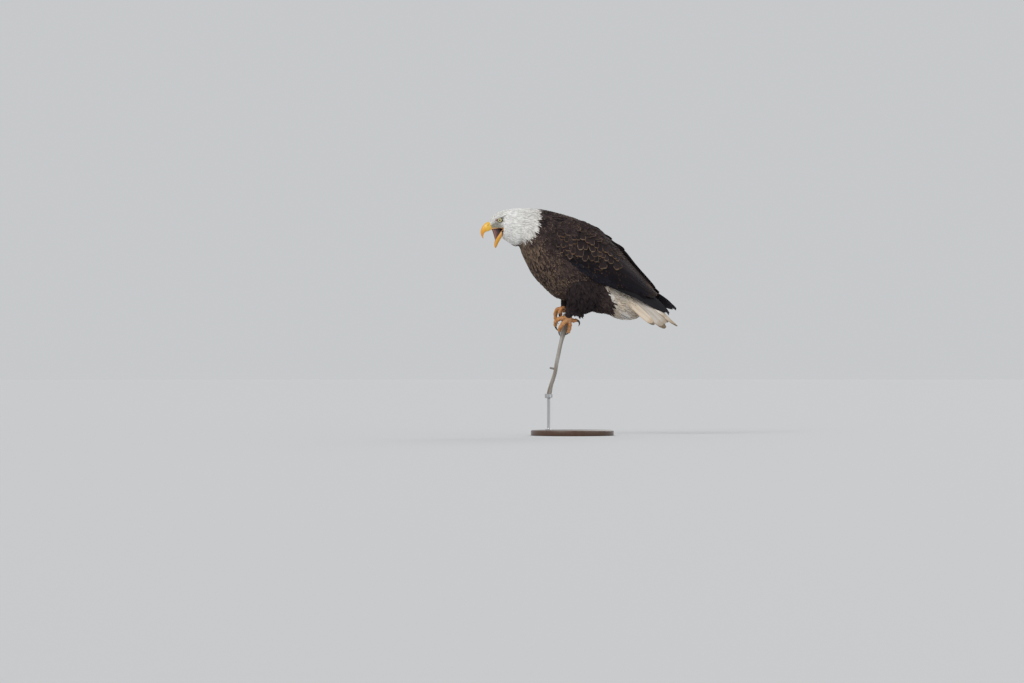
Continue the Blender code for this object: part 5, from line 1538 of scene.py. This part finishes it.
def make_scapulars(side):
    """Broad feathers of the shoulder that lie over the wing's upper edge and over the roots of the
    tertials."""
    vanes, _, _, points = wing_tiles(side, 0.9, 6.3, 73, scapular_reach, (0.0190, 0.0130), length=0.046,
                                     half_width=0.0105, drop=0.06, lift=0.0045, fullness=2.1, ragged=0.10)
    tone = mix(BROWN * 0.9, DARK_BROWN, patchy(points, 0.04, 74, 0.45, 0.4))
    strength = patchy(points, 0.05, 75, 0.45, 0.35, 0.1, 0.8)
    coloured(vanes, tone, mix(BUFF, TAN, 0.5), strength)
    coat(f"scapulars_{side}", [vanes], "brown_plumage", brown_plumes)


def make_wing_coat(side):
    """The wing's coverts: a dark band along the lower edge with a painted bluish sheen towards the wrist,
    small ones over the wrist, and the loops on top."""
    low, t, s, points = wing_tiles(side, 1.0, 7.4, 67, low_coverts, (0.0175, 0.0125), length=0.060,
                                   half_width=0.0100, drop=0.12, lift=-0.0005, fullness=1.9, ragged=0.10,
                                   tile=(0.5, 0, 0.25, 1))
    dark = 0.35 + 0.5 * smoothstep(s, 0.55, 0.95) + 0.2 * waves(points, 0.05, 68)
    tone = mix(DARK_BROWN * 0.8, BLACK, np.clip(dark, 0, 1))
    # painted sheen: the lower edge turns blue-black towards the wrist
    tone = mix(tone, SHEEN_BLUE_BLACK, 0.8 * smoothstep(s, 0.84, 0.93) * (1 - smoothstep(t, 4.0, 5.0)))
    strength = patchy(points, 0.06, 69, 0.20, 0.35, 0, 0.5) * (1 - 0.8 * smoothstep(t, 4.5, 6.0))
    coloured(low, tone, TAN, strength)
    small, t, s, points = wing_tiles(side, 0.15, 2.7, 70, over_wrist, (0.0095, 0.0080), length=0.030,
                                     half_width=0.0068, drop=0.55, lift=0.0016, fullness=1.9, ragged=0.15,
                                     tile=(0.75, 0, 0.25, 1))
    dark = 0.5 + 0.4 * waves(points, 0.04, 71) + 0.5 * smoothstep(s, 0.75, 0.95)
    tone = mix(BROWN, DARK_BROWN, np.clip(dark, 0, 1))
    strength = patchy(points, 0.03, 72, 0.25, 0.3, 0, 0.7) * (1 - smoothstep(s, 0.7, 0.9))
    coloured(small, tone, BUFF * 0.8, strength)
    coat(f"coverts_{side}", [wing_loops(side), low, small], "brown_plumage", brown_plumes)


def long_vanes(surface, table, start, end, s, half_width, **settings):
    """Stiff vanes that run along a wing's face, at the shares s of its width, from a start to an end
    station."""
    per_station, width = surface.size[0] / (len(table) - 1), surface.size[1]
    start, end, columns = start * per_station + 0 * s, end * per_station, s * width
    length = np.array([run_length(surface, *run) for run in zip(start, end, columns)])
    return lay(surface, np.stack([start, columns], axis=-1), length, half_width, BLUNT, thickness=0.0004,
               **settings)


def make_flight_feathers(side):
    """The long feathers of the folded wing: secondaries and the broad tertials over them from the arm,
    and the primaries that show beyond them. The lowest lies undermost."""
    s = np.linspace(0.95, 0.07, 15)
    end = 8.55 + 1.40 * smoothstep(1 - s, 0.02, 0.45) - 0.75 * smoothstep(1 - s, 0.70, 0.95)
    half_width = 0.0135 + 0.0065 * smoothstep(1 - s, 0.2, 0.8)
    lift = -0.0010 + 0.0030 * np.linspace(0, 1, 15)
    vanes = long_vanes(wings[side], WING, 4.3, end, s, half_width, depth=0.003, lift=lift, fullness=2.2,
                       shoulder=0.72, stem=0.5, ragged=0.03, seed=71)
    tone = mix(BLACK * 1.3, BROWN * 0.8, smoothstep(1 - s, 0.40, 0.90))
    strength = 0.15 + 0.40 * smoothstep(1 - s, 0.55, 0.85)
    coloured(vanes, tone, TAN * 0.8, strength)
    coat(f"secondaries_{side}", [vanes], "flight_feathers", long_plumes)
    s = np.array((0.92, 0.80, 0.66, 0.50, 0.32, 0.12))
    end = np.array((4.30, 4.75, 5.15, 5.50, 5.80, 5.45))
    half_width = np.array((0.0130, 0.0130, 0.0130, 0.0125, 0.0120, 0.0120))
    vanes = long_vanes(primaries[side], PRIMARIES, 0.15, end, s, half_width, depth=0.001,
                       lift=np.linspace(-0.0012, 0.0012, 6), pull=(0.0, 0.52, -0.31), fullness=1.8,
                       shoulder=0.62, stem=0.55, camber=0.10, ragged=0.02, seed=72)
    coloured(vanes, BLACK * 1.15, BROWN * 0.6, 0.25)
    coat(f"primaries_fan_{side}", [vanes], "flight_feathers", flight_plumes, f"primaries_{side}")


def make_tail():
    """Twelve tail feathers on the arched fan, the middle pair on top and each pair beyond it a little
    lower. Each is off-white, with a brown line beside its shaft and washed edges, darkened partly by
    brown stain and partly by painted shade between the feathers."""
    order = np.argsort(-np.abs(np.arange(TAIL_FEATHERS) - 5.5), kind="stable")
    q = (2 * order + 1) / TAIL_FEATHERS - 1
    columns = (q + 1) / 2 * tail_face.size[1]
    roots = np.stack([np.full(TAIL_FEATHERS, 0.5), columns], axis=-1)
    length = np.array([run_length(tail_face, 0.5, tail_face.size[0], c) for c in columns]) * 0.955
    vanes = lay(tail_face, roots, length, 0.0215 - 0.0050 * np.abs(q) ** 4, BLUNT, depth=0.0,
                lift=0.0018 - 0.0042 * np.abs(q), fullness=2.2, shoulder=0.84, stem=0.40, camber=0.10,
                thickness=0.0005, ragged=0.05, seed=81)
    tone = mix(WHITE * 0.85, CREAM, 0.7 + 0.3 * waves(np.stack([q, q, q], -1), 0.4, 82))
    # the rims' brown: partly stain, partly painted shade along the edges where the feathers overlap
    coloured(vanes, tone, STAIN_AND_EDGE_SHADE * 1.3, 0.55)
    coat("tail_fan", [vanes], "tail_feathers", tail_plumes, "tail")


# ---- bill, mouth and eyes
def half_bill(table, rows, columns, **dishes):
    """One half of the bill as fine rings, with the place along it of each and the angles round it."""
    places, angles = np.linspace(0, len(table) - 1, rows), turns(columns)
    return tube_section(table, places, angles, **dishes), places[:, None], angles[None, :]


def add_tube(name, rings, tone, ends, slot, material, *replaced):
    """A piece from a closed tube of rings, with a tone for each of its points and for its two ends."""
    return add_painted(name, solid([tube_mesh(rings)]), with_ends(tone, *ends), slot, material, *replaced)


def make_upper_bill():
    """The hooked upper half, whose root swells into the cere round a slit of a nostril."""
    rings, places, angle = half_bill(BILL_UPPER, 90, 96, low_dish=PALATE_DISH)
    middle = rings.mean(axis=1, keepdims=True)
    out = unit(rings - middle)
    tuck = (1 - smoothstep(places, 0.0, 0.10))[..., None]
    rings = rings + tuck * (0.06 * (middle - rings) + np.array((0.0, 0.0035, 0.0)))
    cere = 1 - smoothstep(places, 1.72, 2.0)
    rings = rings + out * (0.0008 * cere * smoothstep(places, 0.05, 0.5))[..., None]
    y, z = rings[..., 1] - NOSTRIL[0], rings[..., 2] - NOSTRIL[1]
    slit = np.exp(-(((y * 0.74 + z * 0.67) / 0.0026) ** 2) - ((z * 0.74 - y * 0.67) / 0.0012) ** 2)
    rings[..., 0] -= np.sign(rings[..., 0]) * 0.0042 * slit * smoothstep(np.abs(rings[..., 0]), 0.002, 0.006)
    tone = mix(HORN_ORANGE, HORN_YELLOW, 0.35 + 0.65 * (1 - smoothstep(places, 2.2, 5.0)) + 0 * angle)
    tone = mix(tone, CERE_YELLOW, cere * 0.8)
    tone = mix(tone, HORN_PALE, 0.35 * smoothstep(places, 5.4, 6.8))
    roof = smoothstep(-np.cos(angle), 0.80, 0.92) * (1 - smoothstep(places, 3.8, 5.2))
    tone = mix(tone, MOUTH_PINK * 1.6, roof)
    # painted shade in the nostril: its sunken slit is near black
    tone = mix(tone, MOUTH_AND_NOSTRIL_SHADE, 0.85 * slit)
    add_tube("bill_top", turn_head(rings), tone, (CERE_YELLOW, HORN_PALE), "yellow_bill", bill_horn,
             "bill_upper")


def make_lower_bill():
    """The lower half, dished above, pink at its root and over its floor."""
    rings, places, angle = half_bill(BILL_LOWER, 72, 80, top_dish=JAW_DISH)
    tone = mix(HORN_YELLOW, HORN_ORANGE, 0.15 + 0.35 * smoothstep(places, 3.0, 5.5) + 0 * angle)
    tone = mix(tone, SKIN_PINK, 0.45 * (1 - smoothstep(places, 0.6, 2.2)))
    tone = mix(tone, MOUTH_PINK, smoothstep(np.cos(angle), 0.70, 0.85) * (1 - smoothstep(places, 4.0, 5.0)))
    add_tube("bill_base", turn_head(rings), tone, (SKIN_PINK, HORN_YELLOW), "yellow_bill", bill_horn,
             "bill_lower")


def make_tongue():
    """A tongue that lies in the lower half, clear of its floor, and rises towards its tip."""
    rows = along(BILL_LOWER, np.linspace(0.35, 3.4, 40))
    share = np.linspace(0, 1, len(rows))
    half_width = 0.0066 * np.sqrt(np.clip(1.02 - share**3, 0, 1)) + 0.0006
    half_height = 0.0020 + 0.0014 * (1 - share)
    across = rows[:, 2:4] - rows[:, 0:2]
    depth = np.linalg.norm(across, axis=1)[:, None]
    across = across / depth
    middle = rows[:, 0:2] + across * depth * (0.16 - 0.10 * share[:, None])
    angle = turns(40)
    groove = 1 - 0.35 * np.exp(-(((angle - math.pi) / 0.35) ** 2))
    height = half_height[:, None] * np.cos(angle) * groove
    side_view = middle[:, None, :] + across[:, None, :] * height[..., None]
    width = half_width[:, None] * np.sin(angle)
    points, faces = tube_mesh(turn_head(np.concatenate([width[..., None], side_view], axis=2)))
    tone = mix(MOUTH_PINK * 1.5, MOUTH_PINK * 0.9, 0.5 + 0.4 * waves(points, 0.012, 91))
    add_painted("tongue_flesh", (points, outward(points, faces)), tone, "mouth", wet_lining, "tongue")


def make_mouth():
    """The skin of the open mouth: a sheet bent to a U round the gape, from one cheek's front edge back to
    the throat and forward to the other's, pleated from jaw to jaw, near black inside with painted
    shade and brownish pink at its edges."""
    bend, level = np.linspace(-1, 1, 97), np.linspace(0, len(MOUTH) - 1, 41)
    rows = along(MOUTH, level)[:, None, :]
    ahead = (np.abs(bend) ** 1.5)[None, :, None]
    pleat = 0.0005 * np.sin(bend * 34)[None, :] * np.sin(math.pi * level / level[-1])[:, None]
    faces_of_sheet = []
    for inwards in (0.0003, 0.0015):
        side_view = rows[..., 2:4] + (rows[..., 0:2] - rows[..., 2:4]) * ahead
        side_view[..., 0] -= (inwards + pleat) * (1 - ahead[..., 0])
        x = (rows[..., 4] - inwards - pleat) * np.sin(np.clip(bend * 2.2, -math.pi / 2, math.pi / 2))
        faces_of_sheet.append(turn_head(np.concatenate([x[..., None], side_view], axis=2)))
    near, far = faces_of_sheet
    edge = np.concatenate([np.abs(bend), np.abs(bend)[::-1]])[None, :] + 0 * level[:, None]
    # painted shade: the lining darkens to near black towards the throat, away from the cheeks' edges
    tone = mix(MOUTH_AND_NOSTRIL_SHADE, MOUTH_PINK, smoothstep(edge, 0.62, 0.97))
    tone = mix(tone, SKIN_PINK * 0.55, 0.6 * smoothstep(edge, 0.90, 1.0))
    closed = np.concatenate([near, far[:, ::-1]], axis=1)
    add_tube("mouth_skin", closed, tone, (MOUTH_AND_NOSTRIL_SHADE, MOUTH_AND_NOSTRIL_SHADE), "mouth", wet_lining, "mouth_lining")


def make_lips():
    """The yellow lip on each side, from under the cere back to the corner of the gape and down to the
    root of the lower half."""
    share, shapes = np.linspace(0, 1, 80), []
    radii = np.interp(share, (0.0, 0.12, 0.5, 0.75, 1.0), (0.0018, 0.0027, 0.0022, 0.0019, 0.0012))
    line = along(GAPE, np.linspace(0, len(GAPE) - 1, 80))
    for sign in SIDES.values():
        shapes.append(tube_mesh(carried(*capped(turn_head(line * np.array((sign, 1, 1))), radii), 16)))
    points, faces = solid(shapes)
    tone = mix(SKIN_YELLOW, SKIN_PINK, 0.60 + 0.3 * waves(points, 0.02, 92))
    add_painted("gape_lips", (points, faces), tone, "yellow_skin", bare_skin)


def eye_frame(sign):
    """An eye's centre, the way it looks, and two directions square to that: forwards and up."""
    centre = turn_head(EYE * np.array((sign, 1, 1)))
    gaze = unit(np.array((GAZE[0] * sign, GAZE[1], GAZE[2])))
    gaze = turn_head(np.array([EYE * (sign, 1, 1) + gaze * 0.001]))[0] - centre
    gaze = unit(gaze)
    up = unit(np.array((0, 0, 1.0)) - gaze * gaze[2])
    return centre, gaze, unit(np.cross(up, gaze) * sign * -1.0), up


def make_eye(side, sign):
    """An eyeball: rings round the gaze, whose middle bulges as the cornea. Its pupil, iris and dark rim
    lie at so many degrees from the gaze."""
    centre, gaze, ahead, up = eye_frame(sign)
    off, turn = np.linspace(0.01, math.pi - 0.01, 90)[:, None, None], turns(72)[None, :, None]
    radius = EYE_RADIUS + CORNEA * (1 - smoothstep(off, 0.20, 0.86))
    ball = gaze * np.cos(off) + (ahead * np.cos(turn) + up * np.sin(turn)) * np.sin(off)
    degrees = np.degrees(off[..., 0]) + 0 * turn[..., 0]
    # the iris darkens towards its edge, with a slow wander
    darker_outward = np.clip(smoothstep(degrees, 33, 45) + 0.22 * waves(ball, 0.12, 93), 0, 1)
    iris = mix(IRIS, IRIS * np.array((0.55, 0.42, 0.20)), darker_outward)
    tone = mix(PUPIL + 0 * iris, iris, smoothstep(degrees, 18.5, 20.0))
    tone = mix(tone, EYE_RIM, smoothstep(degrees, 44.0, 47.0))
    add_tube(f"eyeball_{side}", centre + ball * radius, tone, (PUPIL, EYE_REAR), "eye", eye_gloss,
             f"eye_{side}")


def make_lids():
    """A lid round each eye: a rim of skin that hugs the ball and fans out under the feathers round it."""
    shapes, tones = [], []
    for sign in SIDES.values():
        centre, gaze, ahead, up = eye_frame(sign)
        turn = turns(96)
        aside = ahead * np.cos(turn)[:, None] + up * np.sin(turn)[:, None]
        brow_side = np.clip(0.45 * np.cos(turn) + 0.89 * np.sin(turn), 0, 1)
        corner = np.exp(-(((turn + 0.45 + math.pi) % math.tau - math.pi) / 0.42) ** 2)
        opening = np.radians(LID_OPENING + 2.0 * np.cos(turn) ** 2 - 11.0 * brow_side**2 + 7.0 * corner)
        profile = ((1.000, -0.4), (1.022, -1.0), (1.055, 0.2), (1.075, 4.0), (1.070, 10.0), (1.050, 18.0),
                   (1.030, 30.0), (0.985, 44.0), (0.93, 46.0), (0.96, 30.0), (0.985, 10.0))
        rings = []
        for scale, beyond in along(np.array(profile), np.linspace(0, len(profile) - 1, 45)):
            angle = opening + math.radians(beyond)
            pleat = 1 + 0.010 * np.sin(turn * 3 + beyond) * min(1.0, abs(beyond) / 12)
            ray = gaze * np.cos(angle)[:, None] + aside * np.sin(angle)[:, None]
            rings.append(centre + ray * (EYE_RADIUS * scale * pleat)[:, None])
        closed = np.transpose(rings, (1, 0, 2))
        points, faces = closed.reshape(-1, 3), ring_faces(*closed.shape[:2])
        shapes.append((points, outward(points, faces)))
        share = np.linspace(0, 1, 45)[None, :] + 0 * turn[:, None]
        tone = mix(LID_DARK, LORES * 0.40, smoothstep(share, 0.12, 0.35))
        tone = mix(tone, SKIN_PINK * 0.42, 0.7 * corner[:, None] * smoothstep(share, 0.05, 0.3))
        tones.append(tone.reshape(-1, 3))
    add_painted("eyelids", join(shapes), np.vstack(tones), "yellow_skin", bare_skin)


# ---- branch and stand
def make_branch():
    """A weathered branch: long grooves follow its grain, cracks split it, and its top is broken off."""
    places = np.concatenate([np.linspace(0, 0.02, 4)[:-1], np.linspace(0.02, len(BRANCH) - 1, 420)])
    rows = along(BRANCH, places)
    angle = turns(120)[None, :]
    run = np.linalg.norm(np.diff(rows[:, :2], axis=0), axis=1)
    run = np.concatenate([[0], np.cumsum(run)])[:, None]
    twist = angle + 2.2 * run

    def wander(across, lengthwise, pitch, seed):
        """A slow change over the bark, at one scale round the branch and another along it."""
        round_x, round_y = np.cos(twist) * across, np.sin(twist) * across
        return waves(np.stack([round_x, round_y, lengthwise * run + 0 * twist], -1), pitch, seed)

    grain, fine = wander(1.0, 3.0, 0.55, 95), wander(1.0, 2.0, 0.17, 96)
    lumps = wander(0.5, 14.0, 1.1, 97)
    crack = np.exp(-(((np.sin(twist * 1.5 + 0.8 + 0.4 * np.sin(16 * run))) / 0.055) ** 2))
    crack = crack * smoothstep(wander(1.0, 9.0, 2.0, 98), -0.2, 0.6)
    level = rows[:, 2:3] * (1 + 0.05 * np.sin(2.4 * places[:, None]))
    radius = level + 0.00045 * grain + 0.00022 * fine + 0.0007 * lumps - 0.0011 * crack
    path = np.stack([0 * places, rows[:, 0], rows[:, 1]], axis=-1)
    tangents = unit(np.gradient(path, axis=0))
    sloping, upright = np.linspace(1, 0, 6)[:, None], np.linspace(0, 1, 6)[:, None]
    tangents[-6:] = tangents[-6] * sloping + np.array((0, 0, -1.0)) * upright
    tangents = unit(tangents)
    first = unit(np.cross(tangents, (1.0, 0, 0)))
    second = np.cross(tangents, first)
    out = np.cos(angle)[..., None] * first[:, None] + np.sin(angle)[..., None] * second[:, None]
    broken = 0.0035 * np.abs(wander(1.0, 0.0, 0.8, 99)) * np.exp(-run / 0.006)
    rings = path[:, None] + radius[..., None] * out + tangents[:, None] * broken[..., None]
    rings[-1, :, 2] = BRANCH[-1, 1]
    points, faces = tube_mesh(rings)
    points[-2] += np.array((0, 0, -0.003))
    tone = mix(WOOD_GREY, WOOD_PALE, np.clip(0.45 + 0.30 * grain + 0.25 * fine, 0, 1))
    tone = mix(tone, WOOD_BROWN, np.clip(0.35 + 0.45 * lumps, 0, 0.8))
    tone = mix(tone, WOOD_DARK, np.clip(0.85 * crack + 0.35 * smoothstep(-fine - grain, 0.6, 1.6), 0, 1))
    add_painted("branch_wood", solid([(points, faces)]), with_ends(tone, WOOD_PALE, WOOD_PALE),
                "weathered_wood", old_wood, "perch_branch")


def make_twig():
    """The rough stub of a side twig on the branch's front."""
    y, z, radius = along(BRANCH, [STUB_AT])[0]
    way = unit(np.array((0.0, -1.0, 0.18)))
    reach = np.linspace(0.55 * radius, radius + STUB_LENGTH, 60)
    path = np.array([(0.0, y, z)]) + way * reach[:, None]
    share = np.linspace(0, 1, 60)
    radii = STUB_RADIUS * (0.85 + 0.65 * np.exp(-share / 0.22)) * (1 - 0.30 * smoothstep(share, 0.9, 1.0))
    rings = carried(path, radii, 48)
    rough = waves(rings * np.array((1, 0.2, 1)), 0.003, 100)
    rings = rings + (rings - path[:, None]) * (0.07 * rough)[..., None]
    tone = mix(WOOD_GREY, WOOD_DARK, np.clip(0.3 + 0.4 * rough, 0, 1))
    add_tube("twig_wood", rings, tone, (WOOD_PALE, WOOD_PALE), "weathered_wood", old_wood, "branch_twig")


def turned(name, profile, centre, slot, material, replaced, closed=False, tone=(0.5, 0.5, 0.5)):
    """A turned piece: its (radius, height) profile carried round a vertical axis, with sharp edges kept."""
    profile = np.array(profile)
    angle = turns(160)
    x = profile[:, 0:1] * np.cos(angle) + centre[0]
    y = profile[:, 0:1] * np.sin(angle) + centre[1]
    rings = np.stack([x, y, profile[:, 1:2] + 0 * x], axis=-1)
    points, faces = (rings.reshape(-1, 3), ring_faces(*x.shape)) if closed else tube_mesh(rings)
    mesh = new_mesh(name, points, outward(points, faces))
    mesh.set_sharp_from_angle(angle=math.radians(35))
    paint(mesh, "tone", np.array(tone))
    add_piece(mesh, slot, replaced, materials=[material], at=(0, 0, 0))


def make_stand():
    """A turned base of dark wood with a soft edge and a bead, and a steel rod with a ring for the
    branch."""
    low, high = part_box("stand_base")
    radius, height = high.x, high.z
    base = [(0.02, height), (radius - 0.016, height), (radius - 0.0145, height - 0.0010),
            (radius - 0.013, height - 0.0010), (radius - 0.0115, height)]
    base += [(radius - 0.006 + 0.006 * math.sin(a), height - 0.006 + 0.006 * math.cos(a))
             for a in np.linspace(0, math.pi / 2, 12)]
    base += [(radius, 0.0035), (radius - 0.0006, 0.0018), (radius - 0.002, 0.0004), (radius - 0.003, 0.0)]
    turned("base_wood", base, (0, 0), "stand_wood", dark_wood, "stand_base", tone=(0.075, 0.034, 0.016))
    low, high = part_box("stand_rod")
    centre, seat = ((low.x + high.x) / 2, (low.y + high.y) / 2), high.z
    flange = (high.x - low.x) / 2
    rod = [(flange - 0.0006, seat), (flange, seat - 0.0006), (flange, seat - 0.0024),
           (flange - 0.0006, seat - 0.003)]
    rod += [(ROD_RADIUS + 0.003 * (1 - math.sin(a)), seat - 0.003 - 0.003 * (1 - math.cos(a)))
            for a in np.linspace(0, math.pi / 2, 8)]
    foot = low.z
    rod += [(ROD_RADIUS + 0.004 * (1 - math.cos(a)), foot + 0.003 + 0.006 * (1 - math.sin(a)))
            for a in np.linspace(0, math.pi / 2, 8)]
    rod += [(flange - 0.0006, foot + 0.003), (flange, foot + 0.0024), (flange, foot)]
    turned("rod_steel", rod, centre, "stand_steel", brushed_steel, "stand_rod", tone=(0.55, 0.55, 0.56))
    low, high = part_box("stand_collar")
    outer, bore = (high.x - low.x) / 2, COLLAR_BORE
    ring = [(bore, low.z), (bore, high.z - 0.0006), (bore + 0.0006, high.z), (outer - 0.0008, high.z),
            (outer, high.z - 0.0008), (outer, low.z + 0.0004), (outer - 0.0004, low.z)]
    turned("collar_steel", ring, centre, "stand_steel", brushed_steel, "stand_collar", closed=True,
           tone=(0.55, 0.55, 0.56))


# ---- build
make_skin()
make_head_coat()
make_trunk_coat()
make_vent_coat()
for side in SIDES:
    make_thigh_coat(side)
    make_scapulars(side)
    make_wing_coat(side)
    make_flight_feathers(side)
    make_eye(side, SIDES[side])
make_tail()
make_upper_bill()
make_lower_bill()
make_tongue()
make_mouth()
make_lips()
make_lids()
make_talons()
make_branch()
make_twig()
make_stand()


# ---- floor, light and camera
def make_floor():
    """A pale disc that reaches far behind the stand."""
    angle = turns(128)
    radii = np.array((0.5, 2.0, 8.0, 30.0))
    x, y = np.outer(radii, np.cos(angle)), np.outer(radii, np.sin(angle))
    points, faces = tube_mesh(np.stack([x, y, np.zeros_like(x)], axis=-1))
    keep = ~((faces == len(points) - 1).any(axis=1))
    mesh = new_mesh("floor", points, faces[keep])
    floor = new_object("floor", mesh)
    paint_of_floor, _, _ = new_material("floor_paint", 0.9, Base_Color=(0.555, 0.56, 0.565, 1.0))
    mesh.materials.append(paint_of_floor)


def add_light(name, towards, breadth, strength, colour=(1, 1, 1)):
    """A soft distant light that shines from towards, as wide in the sky as breadth says, in degrees."""
    light = bpy.data.lights.new(name, "SUN")
    light.angle, light.energy, light.color = math.radians(breadth), strength, colour
    lamp = new_object(name, light)
    lamp.location = towards
    lamp.rotation_euler = (-Vector(towards)).to_track_quat("-Z", "Y").to_euler()


def set_stage():
    """The floor, three soft lights, a pale even sky, and the camera level with the bird on its left."""
    make_floor()
    add_light("key_light", (3.6, -2.6, 3.6), 34, 1.32, (1.0, 0.985, 0.96))
    add_light("fill_light", (2.5, 3.6, 1.0), 45, 0.35, (0.95, 0.97, 1.0))
    add_light("back_light", (-3.5, 1.5, 2.4), 34, 0.75)
    world = bpy.data.worlds.new("studio")
    world.use_nodes = True
    set_inputs(world.node_tree.nodes["Background"], Color=(0.86, 0.88, 0.90, 1.0), Strength=0.66)
    scene = bpy.context.scene
    scene.world = world
    scene.view_settings.view_transform = "Standard"
    camera = new_object("camera", bpy.data.cameras.new("camera"))
    camera.data.sensor_width = 36.0
    camera.data.lens = LENS
    camera.location = CAMERA
    camera.rotation_euler = (math.pi / 2, 0.0, math.pi / 2)
    scene.camera = camera


set_stage()
